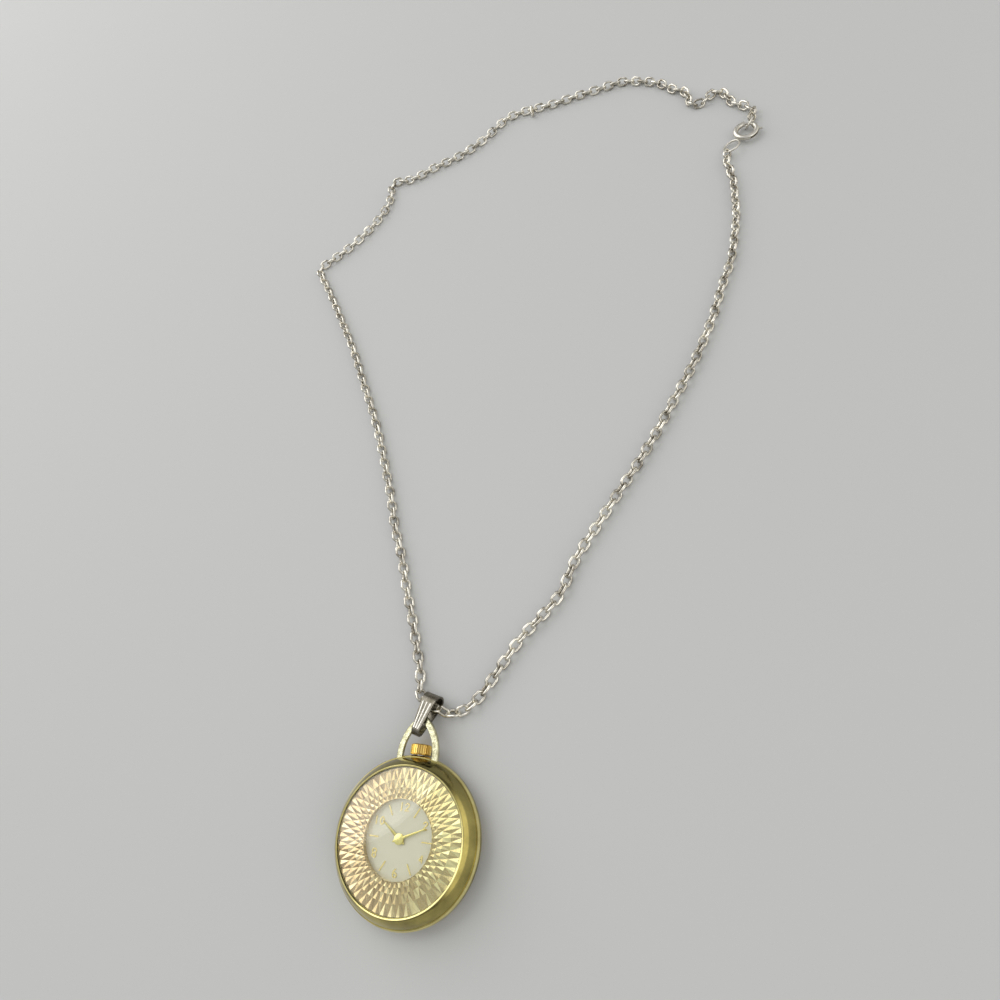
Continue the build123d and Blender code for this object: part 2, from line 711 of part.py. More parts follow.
movement_holder = outline(
    (holder_inner, holder_low), (holder_outer, holder_low), (holder_outer, holder_shoulder_height),
    (holder_shoulder_radius, holder_shoulder_height), (holder_shoulder_radius, facet_ring_base),
    (dial_radius + loose_gap, facet_ring_base), (dial_radius + loose_gap, dial_base),
    (holder_inner, dial_base))
movement_holder -= along_stem(stem_radius + 4 * loose_gap, 0, holder_outer + cut_over)
save("movement_holder", movement_holder)

# GOING TRAIN


def arbor(place, low, high, pivots=True):
    """An arbor with a pivot at each end that reaches into the jewels."""
    body = disc(arbor_radius, low, high, place)
    if pivots:
        body += disc(pivot_radius, jewel_high, jewel_low + jewel_thickness, place)
    return body


shake = loose_gap / 2
arbor_low, arbor_high = bridge_high + shake, plate_low - shake
centre_turn = 0.0
centre_wheel = gear(centre_teeth, centre_module, centre_level, centre_level + wheel_thickness,
                    centre_place, centre_turn)
centre_wheel -= spokes(centre_teeth * centre_module / 2, centre_level,
                       centre_level + wheel_thickness, centre_place)
centre_pinion_turn = centre_turn
centre_wheel += gear(centre_pinion_teeth, barrel_module, third_level - shake, arbor_high,
                     centre_place, centre_pinion_turn)
centre_wheel += disc(cannon_bore_radius - running_gap, centre_level, dial_top, centre_place)
centre_wheel += disc(pivot_radius, jewel_high, centre_level, centre_place)
save("centre_wheel", centre_wheel)

barrel_turn = meshed(centre_pinion_turn, centre_pinion_teeth,
                     bearing_between(centre_place, barrel_place), barrel_teeth)
floor_low = barrel_high - barrel_floor
barrel = gear(barrel_teeth, barrel_module, floor_low, barrel_high, barrel_place, barrel_turn)
barrel += tube(barrel_body_radius, barrel_body_radius - barrel_wall, barrel_low + barrel_wall,
               floor_low, barrel_place)
barrel -= disc(pivot_radius + running_gap, floor_low - cut_over, barrel_high + cut_over, barrel_place)
save("mainspring_barrel", barrel)

barrel_cover = tube(barrel_body_radius, barrel_arbor_radius + running_gap, barrel_low,
                    barrel_low + barrel_wall, barrel_place)
save("barrel_cover", barrel_cover)

spring_low = barrel_low + barrel_wall + shake
spring_high = floor_low - shake
coil_pitch = (barrel_body_radius - barrel_wall - barrel_arbor_radius - mainspring_strip
              - 2 * running_gap) / mainspring_turns
coil_arcs = []
coil_start = barrel_arbor_radius + running_gap + mainspring_strip / 2
for half_turn in range(2 * mainspring_turns):
    side = 1 if half_turn % 2 == 0 else -1
    start_radius = coil_start + coil_pitch * half_turn / 2
    end_radius = start_radius + coil_pitch / 2
    middle_radius = (start_radius + end_radius) / 2
    coil_arcs.append(ThreePointArc((side * start_radius, 0),
                                   (side * (start_radius - middle_radius), side * middle_radius),
                                   (-side * end_radius, 0)))
coil_strip = trace(coil_arcs, line_width=mainspring_strip)
mainspring = extrude(Pos(barrel_place[0], barrel_place[1], spring_low) * coil_strip,
                     spring_high - spring_low)
save("mainspring", mainspring)

barrel_arbor = disc(barrel_arbor_radius, winder_high, floor_low - shake, barrel_place)
barrel_arbor += disc(pivot_radius, floor_low - 2 * shake, plate_low + jewel_thickness / 2, barrel_place)
save("barrel_arbor", barrel_arbor)

third_turn = meshed(centre_turn, centre_teeth, third_bearing, third_pinion_teeth)
third_wheel = gear(third_teeth, third_module, third_level, third_level + wheel_thickness,
                   third_place, third_turn)
third_wheel -= spokes(third_teeth * third_module / 2, third_level, third_level + wheel_thickness,
                      third_place)
third_wheel += arbor(third_place, arbor_low, arbor_high)
third_wheel += gear(third_pinion_teeth, centre_module, centre_level - shake,
                    centre_level - shake + pinion_height, third_place, third_turn)
save("third_wheel", third_wheel)

fourth_turn = meshed(third_turn, third_teeth, fourth_bearing, fourth_pinion_teeth)
fourth_wheel = gear(fourth_teeth, fourth_module, fourth_level, fourth_level + wheel_thickness,
                    fourth_place, fourth_turn)
fourth_wheel -= spokes(fourth_teeth * fourth_module / 2, fourth_level,
                       fourth_level + wheel_thickness, fourth_place)
fourth_wheel += arbor(fourth_place, arbor_low, arbor_high)
fourth_wheel += gear(fourth_pinion_teeth, third_module, third_level - shake,
                     third_level - shake + pinion_height, fourth_place, fourth_turn)
save("fourth_wheel", fourth_wheel)

escape_turn = meshed(fourth_turn, fourth_teeth, escape_bearing, escape_pinion_teeth)
escape_points = []
for tooth in range(escape_teeth):
    middle = escape_turn + tooth * 360 / escape_teeth
    escape_points += [polar(escape_root_radius, middle - escape_root_half),
                      polar(escape_radius, middle + escape_tip_from),
                      polar(escape_radius, middle + escape_tip_to),
                      polar(escape_root_radius, middle + escape_root_half)]
escape_wheel = extrude(Pos(escape_place[0], escape_place[1], escape_level)
                       * make_face(Polyline(*escape_points, close=True)), wheel_thickness)
escape_wheel -= spokes(escape_root_radius, escape_level, escape_level + wheel_thickness,
                       escape_place)
escape_wheel += arbor(escape_place, arbor_low, arbor_high)
escape_wheel += gear(escape_pinion_teeth, fourth_module, fourth_level - shake,
                     fourth_level - shake + pinion_height, escape_place, escape_turn)
save("escape_wheel", escape_wheel)

# PALLET FORK AND BALANCE

fork_length = fork_to_balance - roller_radius - 2 * loose_gap
to_escape = bearing_between(pallet_place, escape_place)
stone_near = escape_radius + 2 * loose_gap
pallet_fork = Rot(0, 0, fork_bearing) * block(0, fork_length, -fork_width / 2, fork_width / 2,
                                              escape_level, escape_level + wheel_thickness)
pallet_arm = Rot(0, 0, to_escape) * block(-fork_width / 2, fork_width / 2, -pallet_span,
                                          pallet_span, escape_level, escape_level + wheel_thickness)
pallet_fork = Pos(pallet_place[0], pallet_place[1], 0) * (pallet_fork + pallet_arm)
pallet_fork += arbor(pallet_place, arbor_low, arbor_high)
pallet_fork -= disc(stone_near, escape_level - cut_over, escape_level + cut_over, escape_place)
save("pallet_fork", pallet_fork)

balance_wheel = tube(balance_radius, balance_radius - balance_rim, balance_low,
                     balance_low + balance_thickness, balance_place)
balance_arm = Rot(0, 0, fork_bearing + 90) * block(-balance_radius + balance_rim / 2,
                                                   balance_radius - balance_rim / 2, -spoke_width,
                                                   spoke_width, balance_low,
                                                   balance_low + balance_thickness)
balance_wheel += Pos(balance_place[0], balance_place[1], 0) * balance_arm
balance_wheel += arbor(balance_place, arbor_low, arbor_high)
balance_wheel += disc(roller_radius, escape_level, escape_level + wheel_thickness, balance_place)
save("balance_wheel", balance_wheel)

hair_arcs = []
for half_turn in range(2 * hairspring_turns):
    side = 1 if half_turn % 2 == 0 else -1
    start_radius = hairspring_start + hairspring_pitch * half_turn / 2
    end_radius = start_radius + hairspring_pitch / 2
    middle_radius = (start_radius + end_radius) / 2
    hair_arcs.append(ThreePointArc((side * start_radius, 0),
                                   (side * (start_radius - middle_radius), side * middle_radius),
                                   (-side * end_radius, 0)))
hairspring = extrude(Pos(balance_place[0], balance_place[1], hairspring_level)
                     * trace(hair_arcs, line_width=hairspring_strip), hairspring_height)
hairspring += tube(hairspring_start, arbor_radius + running_gap, hairspring_level,
                   hairspring_level + hairspring_height, balance_place)
save("hairspring", hairspring)

# WINDING WORK


def on_stem(flat, start, length):
    """A flat outline in X and Z, extruded along the stem."""
    return extrude(Plane(origin=(0, start + length, stem_height), x_dir=(1, 0, 0),
                         z_dir=(0, -1, 0)) * flat, length)


def toothed(radius, teeth, depth):
    """Outline of a round part with square-cut teeth."""
    step = 360 / teeth
    points = []
    for tooth in range(teeth):
        middle = tooth * step
        points += [polar(radius - depth, middle - cog_root_half * step),
                   polar(radius, middle - cog_tip_half * step),
                   polar(radius, middle + cog_tip_half * step),
                   polar(radius - depth, middle + cog_root_half * step)]
    return make_face(Polyline(*points, close=True))


square_hole = Rectangle(stem_square + 2 * running_gap, stem_square + 2 * running_gap)
pinion_tooth = winding_pinion_radius / 8
winding_pinion = on_stem(toothed(winding_pinion_radius, winding_pinion_teeth, pinion_tooth)
                         - Circle(stem_radius + running_gap),
                         winding_pinion_start, winding_pinion_length)
save("winding_pinion", winding_pinion)
sliding_pinion = on_stem(toothed(sliding_pinion_radius, winding_pinion_teeth, pinion_tooth)
                         - square_hole, sliding_pinion_start, sliding_pinion_length)
save("sliding_pinion", sliding_pinion)

crown_end = crown_start + crown_thickness
stem_outer_end = crown_end - crown_thickness / 3
winding_stem = along_stem(stem_radius, winding_pinion_start - loose_gap, stem_outer_end)
winding_stem += on_stem(Rectangle(stem_square, stem_square), stem_inner_end,
                        winding_pinion_start - stem_inner_end)
winding_stem -= (along_stem(stem_radius + cut_over, stem_groove_start,
                            stem_groove_start + stem_groove_length)
                 - along_stem(stem_groove_radius, 0, plate_radius))
save("winding_stem", winding_stem)

crown_tube = along_stem(tube_outer, tube_start, tube_end) - along_stem(tube_inner, 0, crown_end)
save("crown_tube", crown_tube)

crown = on_stem(toothed(crown_radius, crown_flutes, crown_flute_depth), crown_start, crown_thickness)
crown_edge = crown_thickness / 9
crown &= revolve(Plane.XY * make_face(Polyline(
    (0, crown_start), (crown_radius - crown_edge, crown_start),
    (crown_radius, crown_start + crown_edge), (crown_radius, crown_end - crown_edge),
    (crown_radius - crown_edge, crown_end), (0, crown_end), close=True)), Axis.Y).moved(
        Pos(0, 0, stem_height))
crown -= along_stem(tube_outer + 2 * loose_gap, crown_start - cut_over, tube_end + 2 * loose_gap)
crown -= along_stem(stem_radius, crown_start - cut_over, stem_outer_end)
save("crown", crown)

ratchet_bearing = bearing_between(crown_wheel_place, barrel_place)
crown_wheel = gear(crown_wheel_teeth, winder_module, winder_low, winder_high, crown_wheel_place)
crown_stud_radius = barrel_arbor_radius
crown_wheel -= disc(crown_stud_radius + running_gap, winder_low - cut_over, winder_high + cut_over,
                    crown_wheel_place)
save("crown_wheel", crown_wheel)

crown_wheel_stud = disc(crown_stud_radius, winder_low, recess_top, crown_wheel_place)
crown_wheel_stud += disc(2 * crown_stud_radius, winder_low - jewel_thickness,
                         winder_low - seat_gap, crown_wheel_place)
crown_wheel_stud += disc(crown_stud_radius, winder_low - jewel_thickness, winder_low,
                         crown_wheel_place)
save("crown_wheel_stud", crown_wheel_stud)

ratchet_turn = meshed(0, crown_wheel_teeth, ratchet_bearing, ratchet_teeth)
ratchet_wheel = gear(ratchet_teeth, winder_module, winder_low, winder_high, barrel_place, ratchet_turn)
save("ratchet_wheel", ratchet_wheel)

click_high = bridge_low - seat_gap
click = Rot(0, 0, click_line) * block(0, click_length - loose_gap, -click_width / 2,
                                      click_width / 2, winder_low, click_high)
click = Pos(click_pivot[0], click_pivot[1], 0) * click
click += disc(click_width, winder_low, click_high, click_pivot)
click -= disc(ratchet_radius + winder_module + seat_gap, winder_low - cut_over,
              winder_high + cut_over, barrel_place)
click -= disc(screw_shank_radius + running_gap, winder_low - cut_over, winder_high + cut_over,
              click_pivot)
save("click", click)

click_screw = disc(screw_head_radius, winder_low - screw_head_height, winder_low - seat_gap, click_pivot)
click_screw += disc(screw_shank_radius, winder_low - screw_head_height, bridge_high, click_pivot)
save("click_screw", click_screw)

spring_side = -click_width - loose_gap
click_spring = block(-2 * click_width, click_length - click_width, spring_side - click_spring_width,
                     spring_side, winder_low, bridge_low)
click_spring += block(click_length - click_width - click_spring_width, click_length - click_width,
                      spring_side - click_spring_width, -click_width / 2 - 3 * loose_gap,
                      winder_low, bridge_low)
click_spring += disc(click_width / 2, winder_low, bridge_low, (-2 * click_width, spring_side))
save("click_spring", Pos(click_pivot[0], click_pivot[1], 0) * Rot(0, 0, click_line) * click_spring)

setting_lever = block(0, lever_pivot_offset, -lever_width / 2, lever_width / 2, lever_low,
                      lever_low + lever_thickness)
setting_lever += disc(lever_width / 2, lever_low, lever_low + lever_thickness)
setting_lever += disc(lever_width / 2, lever_low, lever_low + lever_thickness,
                      (lever_pivot_offset, 0))
setting_lever += disc(lever_pin_radius, stem_height + stem_groove_radius + loose_gap, lever_low)
setting_lever -= disc(screw_shank_radius + running_gap, lever_low - cut_over,
                      lever_low + lever_thickness + cut_over, (lever_pivot_offset, 0))
save("setting_lever", Pos(0, lever_pivot[1], 0) * setting_lever)

lever_screw = disc(screw_head_radius, lever_low - screw_head_height, lever_low - seat_gap, lever_pivot)
lever_screw += disc(screw_shank_radius, lever_low - screw_head_height, plate_high - seat_gap, lever_pivot)
save("lever_screw", lever_screw)

# MOTION WORK

cannon_pinion = gear(cannon_teeth, cannon_module, cannon_level, cannon_level + cannon_height,
                     centre_place, 0)
cannon_top = minute_hand_base + hand_thickness
cannon_pinion += disc(cannon_tube_radius, cannon_level, cannon_top)
cannon_pinion -= disc(cannon_bore_radius, plate_low, dial_top + loose_gap)
save("cannon_pinion", cannon_pinion)

minute_wheel_turn = meshed(0, cannon_teeth, minute_wheel_bearing, minute_wheel_teeth)
minute_wheel = gear(minute_wheel_teeth, cannon_module, cannon_level, cannon_level + cannon_height,
                    minute_wheel_place, minute_wheel_turn)
minute_wheel += gear(minute_pinion_teeth, hour_module, cannon_level, hour_level + hour_height,
                     minute_wheel_place, minute_wheel_turn)
minute_wheel -= disc(minute_post_radius + running_gap, plate_high, dial_base, minute_wheel_place)
save("minute_wheel", minute_wheel)

hour_wheel_turn = meshed(minute_wheel_turn, minute_pinion_teeth, minute_wheel_bearing + 180,
                         hour_wheel_teeth)
hour_wheel = gear(hour_wheel_teeth, hour_module, hour_level, hour_level + hour_height, centre_place,
                  hour_wheel_turn)
hour_wheel += disc(hour_pipe_radius, hour_level, hour_hand_base + hand_thickness)
hour_wheel -= disc(cannon_tube_radius + running_gap, hour_level - cut_over, minute_hand_base)
save("hour_wheel", hour_wheel)

# ARCH


def pointed(foot, shoulder, shoulder_reach, tip, base):
    """A pointed arch's outline over a straight base line."""
    return make_face(Curve() + [
        ThreePointArc((foot, arch_foot_reach), (shoulder, shoulder_reach), (0, tip)),
        ThreePointArc((0, tip), (-shoulder, shoulder_reach), (-foot, arch_foot_reach)),
        Polyline((-foot, arch_foot_reach), (-foot, base), (foot, base), (foot, arch_foot_reach))])


arch_base = arch_foot_reach - (arch_foot_outer - arch_foot_inner)
arch_flat = pointed(arch_foot_outer, arch_shoulder_outer, arch_foot_reach + arch_outer_rise,
                    arch_tip, arch_base)
arch_flat -= pointed(arch_foot_inner, arch_shoulder_inner, arch_foot_reach + arch_inner_rise,
                     arch_tip - arch_tip_width, arch_base - cut_over)
pendant_arch = extrude(Pos(0, 0, arch_low) * arch_flat, arch_thickness)
arch_top = pendant_arch.faces().sort_by(Axis.Z)[-1]
arch_outer_edges = arch_top.edges().filter_by(GeomType.CIRCLE).sort_by(SortBy.LENGTH)[-2:]
pendant_arch = chamfer(arch_outer_edges, arch_chamfer)
pendant_arch -= case_solid
save("pendant_arch", *pendant_arch.solids())

# BAIL


def drop(foot_radius, top_radius):
    """Side outline of the bail, two circles joined by their outer tangents."""
    foot = Pos(0, bail_foot_height) * Circle(foot_radius)
    top = Pos(bail_length, bail_top_radius) * Circle(top_radius)
    return make_hull(foot.edges() + top.edges())


bail_place = Pos(bail_foot[0], bail_foot[1], 0) * Rot(0, 0, 90 - bail_turn)
bail_loop = drop(bail_foot_radius, bail_top_radius) - drop(bail_foot_radius - bail_strap,
                                                           bail_top_radius - bail_strap)
bail = extrude(Plane(origin=(0, bail_top_width, 0), x_dir=(1, 0, 0), z_dir=(0, -1, 0)) * bail_loop,
               2 * bail_top_width)
bail_start = -bail_foot_radius
bail_end = bail_length + bail_top_radius
bail_plan = make_face(Polyline((bail_start, -bail_foot_width / 2), (bail_end, -bail_top_width / 2),
                               (bail_end, bail_top_width / 2), (bail_start, bail_foot_width / 2),
                               close=True))
bail &= extrude(bail_plan, bail_foot_height + bail_foot_radius + cut_over)
lean = degrees(asin((bail_top_radius - bail_foot_radius) / hypot(
    bail_length, bail_foot_height - bail_top_radius))) - degrees(atan2(
        bail_foot_height - bail_top_radius, bail_length))
ribs = []
for i in range(bail_rib_count):
    share = (i + 0.5) / bail_rib_count - 0.5
    fan = degrees(atan2(share * (bail_top_width - bail_foot_width), bail_end - bail_start))
    sink = bail_rib_radius - bail_rib_rise
    front_normal = Vector(-sin(radians(lean)), 0, cos(radians(lean)))
    foot_point = Vector(0, share * bail_foot_width, bail_foot_height) + front_normal * (
        bail_foot_radius - sink)
    rib_way = Vector(cos(radians(lean)), sin(radians(fan)), sin(radians(lean))).normalized()
    rib_length = hypot(bail_length, bail_top_radius - bail_foot_radius)
    rib = Plane(origin=foot_point, z_dir=rib_way) * Cylinder(
        bail_rib_radius, rib_length, align=(Align.CENTER, Align.CENTER, Align.MIN))
    ribs.append(rib)
hollow = extrude(Plane(origin=(0, bail_top_width, 0), x_dir=(1, 0, 0), z_dir=(0, -1, 0))
                 * drop(bail_foot_radius - bail_strap, bail_top_radius - bail_strap),
                 2 * bail_top_width)
bail = bail_place * ((bail + ribs) - hollow)
save("bail", bail)

# CHAIN

route = [Vector(x, arch_tip + y, z) for x, y, z in chain_route]


def middle_of(first, second):
    """The point halfway between two points of the route."""
    return (first + second) / 2


line_parts = []
for i in range(1, len(route) - 1):
    start = route[0] if i == 1 else middle_of(route[i - 1], route[i])
    end = route[-1] if i == len(route) - 2 else middle_of(route[i], route[i + 1])
    line_parts.append(Bezier(start, route[i], end))
line_lengths = [part.length for part in line_parts]
chain_length = sum(line_lengths)
link_count = round(chain_length / link_pitch)
joint_spacing = chain_length / link_count


def on_chain(distance):
    """The point of the chain's line at a distance from its start."""
    for part, length in zip(line_parts, line_lengths):
        if distance <= length:
            return part.position_at(distance / length)
        distance -= length
    return route[-1]


def rolled(direction, roll):
    """Normal of a link's plane: straight up at no roll, turned about the link's length."""
    side = Vector(0, 0, 1).cross(direction).normalized()
    upright = direction.cross(side)
    return upright * cos(radians(roll)) + side * sin(radians(roll))


link_arc = (link_width - link_wire) / 2
link_inside = link_pitch + link_slack
link_straight = link_inside + link_wire - 2 * link_arc
link_end = Pos(link_straight / 2, 0, 0) * revolve(
    Plane.XZ * Pos(link_arc, 0) * Circle(link_wire / 2), Axis.Z, 180).rotate(Axis.Z, -90)
link_side = Pos(0, link_arc, 0) * Rot(0, 90, 0) * Cylinder(link_wire / 2, link_straight)
link = link_end + Rot(0, 0, 180) * link_end + link_side + Rot(0, 0, 180) * link_side

joints = [on_chain(i * joint_spacing) for i in range(link_count + 1)]
bail_joint = min(range(link_count), key=lambda i: (
    joints[i] - Vector(bail_foot[0], bail_foot[1], bail_foot_height)).length)
links = []
for i in range(link_count):
    first, second = joints[i], joints[i + 1]
    direction = (second - first).normalized()
    roll = link_roll if i % 2 == 0 else -link_roll
    links.append(Plane(origin=middle_of(first, second), x_dir=direction,
                       z_dir=rolled(direction, roll)) * link)
save("chain_right_run", *links[:bail_joint])
save("chain_left_run", *links[bail_joint:])

host = min(range(0, link_count, 2), key=lambda i: (
    middle_of(joints[i], joints[i + 1]) - Vector(*spare_link_place)).length)
host_way = (joints[host + 1] - joints[host]).normalized()
host_side = host_way.cross(rolled(host_way, link_roll))
outward = host_way.cross(Vector(0, 0, 1))
hang = outward * cos(radians(spare_link_lean)) - Vector(0, 0, sin(radians(spare_link_lean)))
hang_point = middle_of(joints[host], joints[host + 1]) + host_side * link_arc
hang_point += hang * (link_arc - link_wire - loose_gap)
save("spare_link", Plane(origin=hang_point + hang * (link_straight / 2), x_dir=hang,
                         z_dir=host_way) * link)

# RINGS AND CLASP


def ring_between(first, second, tilt):
    """A closed wire ring with two points across it, tilted about the line between them."""
    across = second - first
    return Plane(origin=middle_of(first, second), x_dir=across,
                 z_dir=rolled(across.normalized(), tilt)) * Torus(across.length / 2, ring_wire / 2)


def compass(radius, bearing, height=0.0):
    """A point round the clasp's centre, at a bearing in degrees clockwise from +Y."""
    return Vector(clasp_centre[0] + radius * sin(radians(bearing)),
                  clasp_centre[1] + radius * cos(radians(bearing)), height)


clasp_axis = Pos(clasp_centre[0], clasp_centre[1], clasp_height)
gate_from = clasp_gate_bearing - clasp_gate_half
gate_to = clasp_gate_bearing + clasp_gate_half


def bent_rod(radius, start_bearing, end_bearing):
    """A round rod bent along the clasp's ring, between two bearings."""
    arc = revolve(Plane.XZ * Pos(clasp_ring_radius, 0) * Circle(radius), Axis.Z,
                  end_bearing - start_bearing)
    return clasp_axis * Rot(0, 0, 90 - end_bearing) * arc


bolt_travel = 2 * clasp_gate_half + clasp_bolt_overlap
knob_half = degrees((clasp_knob_radius + loose_gap) / clasp_ring_radius)
bolt_start = gate_from - clasp_bolt_overlap
bolt_end = gate_to + clasp_bolt_tail
clasp_ring = bent_rod(clasp_tube_radius, gate_to, gate_from + 360)
clasp_ring -= bent_rod(clasp_bore_radius, gate_to - bore_over, clasp_spring_end)
clasp_ring -= bent_rod(clasp_bore_radius, bolt_start - bore_over, gate_from + bore_over)
knob_way = clasp_knob_radius + loose_gap
knob_slot = revolve(Plane.XZ * Pos(clasp_ring_radius + clasp_tube_radius, 0)
                    * Rectangle(2 * clasp_tube_radius, 2 * knob_way), Axis.Z,
                    bolt_travel + 2 * knob_half)
clasp_ring -= clasp_axis * Rot(0, 0, 90 - clasp_knob_bearing - bolt_travel - knob_half) * knob_slot
eye_centre = compass(clasp_ring_radius + clasp_tube_radius + clasp_eye_radius, clasp_eye_bearing,
                     clasp_height)
eye_axis = Vector(cos(radians(clasp_eye_bearing)), -sin(radians(clasp_eye_bearing)), 0)
clasp_eye = Plane(origin=eye_centre, z_dir=eye_axis) * Torus(clasp_eye_radius, clasp_eye_wire / 2)
clasp_ring += clasp_eye - bent_rod(clasp_tube_radius - loose_gap, clasp_eye_bearing - clasp_gate_half,
                                   clasp_eye_bearing + clasp_gate_half)
save("clasp_ring", clasp_ring)

knob_line = compass(clasp_ring_radius, clasp_knob_bearing, clasp_height)
knob_out = Vector(sin(radians(clasp_knob_bearing)), cos(radians(clasp_knob_bearing)), 0)
clasp_knob = Plane(origin=knob_line, z_dir=knob_out) * Cylinder(
    clasp_knob_radius, clasp_tube_radius + clasp_knob_length,
    align=(Align.CENTER, Align.CENTER, Align.MIN))
clasp_bolt = bent_rod(clasp_bolt_radius, bolt_start, bolt_end) + clasp_knob
save("clasp_bolt", clasp_bolt)

coil_radius = clasp_bore_radius - running_gap - clasp_spring_wire / 2
coil_step = (clasp_spring_end - bolt_end) / clasp_spring_coils
spring_coil = Pos(clasp_ring_radius, 0, 0) * Rot(90, 0, 0) * Torus(coil_radius, clasp_spring_wire / 2)
save("clasp_spring", *[clasp_axis * Rot(0, 0, 90 - bolt_end - (i + 0.5) * coil_step) * spring_coil
                       for i in range(clasp_spring_coils)])

ring_play = ring_wire / 2 + loose_gap
last_way = (joints[-1] - joints[-2]).normalized()
closing_way = (compass(0, 0, joints[-1].Z) - joints[-1]).normalized()
inside_clasp = (compass(0, 0, clasp_height) - closing_way
                * (clasp_ring_radius - clasp_tube_radius - ring_wire))
closing_ring = ring_between(joints[-1] - last_way * ring_play, inside_clasp, closing_ring_tilt)
save("closing_ring", closing_ring)

first_way = (joints[1] - joints[0]).normalized()
split_ring = ring_between(eye_centre, joints[0] + first_way * ring_play, split_ring_tilt)
save("split_ring", split_ring)


def bend_radius(first, middle, last):
    """Radius of the circle through three points."""
    turn = (middle - first).get_angle(last - middle)
    return (last - first).length / 2 / sin(radians(turn)) if turn else chain_length


tightest = min(bend_radius(*joints[i:i + 3]) for i in range(link_count - 1))
print("chain length", round(chain_length, 1), "links", link_count, "tightest bend", round(tightest, 1))
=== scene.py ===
"""Pendant watch on a long chain, dressed over its CAD model: gold case, faceted ring, pewter bail."""
from math import asin, cos, degrees, hypot, pi, radians, sin

import bmesh
import bpy
from mathutils import Matrix, Vector, noise


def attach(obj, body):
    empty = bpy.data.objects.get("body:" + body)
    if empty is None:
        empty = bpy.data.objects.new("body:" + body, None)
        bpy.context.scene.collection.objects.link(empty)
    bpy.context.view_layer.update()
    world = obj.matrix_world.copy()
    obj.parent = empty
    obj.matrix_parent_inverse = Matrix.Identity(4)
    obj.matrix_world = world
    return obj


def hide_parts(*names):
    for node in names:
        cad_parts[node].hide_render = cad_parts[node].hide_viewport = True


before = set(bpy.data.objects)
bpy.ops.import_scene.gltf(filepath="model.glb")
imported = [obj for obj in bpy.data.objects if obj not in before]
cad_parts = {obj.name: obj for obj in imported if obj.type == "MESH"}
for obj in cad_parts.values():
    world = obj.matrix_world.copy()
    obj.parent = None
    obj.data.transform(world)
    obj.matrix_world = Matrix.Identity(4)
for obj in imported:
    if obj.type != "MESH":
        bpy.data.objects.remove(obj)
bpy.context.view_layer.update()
scene = bpy.context.scene
scene.view_settings.view_transform = "Standard"

# CAMERA
# Looks down on the watch from above and from its right, through a wide lens.
camera_right = Vector((0.9398, 0.1099, -0.3237))
camera_up = Vector((0.0395, 0.9056, 0.4222))
camera_place = Vector((0.07525, 0.00652, 0.16023))
camera_data = bpy.data.cameras.new("camera")
camera_data.lens = 25.34
camera_data.sensor_width = 36.0
camera_data.clip_start = 0.005
camera_data.clip_end = 10.0
camera = bpy.data.objects.new("camera", camera_data)
scene.collection.objects.link(camera)
camera_back = camera_right.cross(camera_up)
camera.matrix_world = Matrix((
    (camera_right.x, camera_up.x, camera_back.x, camera_place.x),
    (camera_right.y, camera_up.y, camera_back.y, camera_place.y),
    (camera_right.z, camera_up.z, camera_back.z, camera_place.z),
    (0.0, 0.0, 0.0, 1.0)))
scene.camera = camera

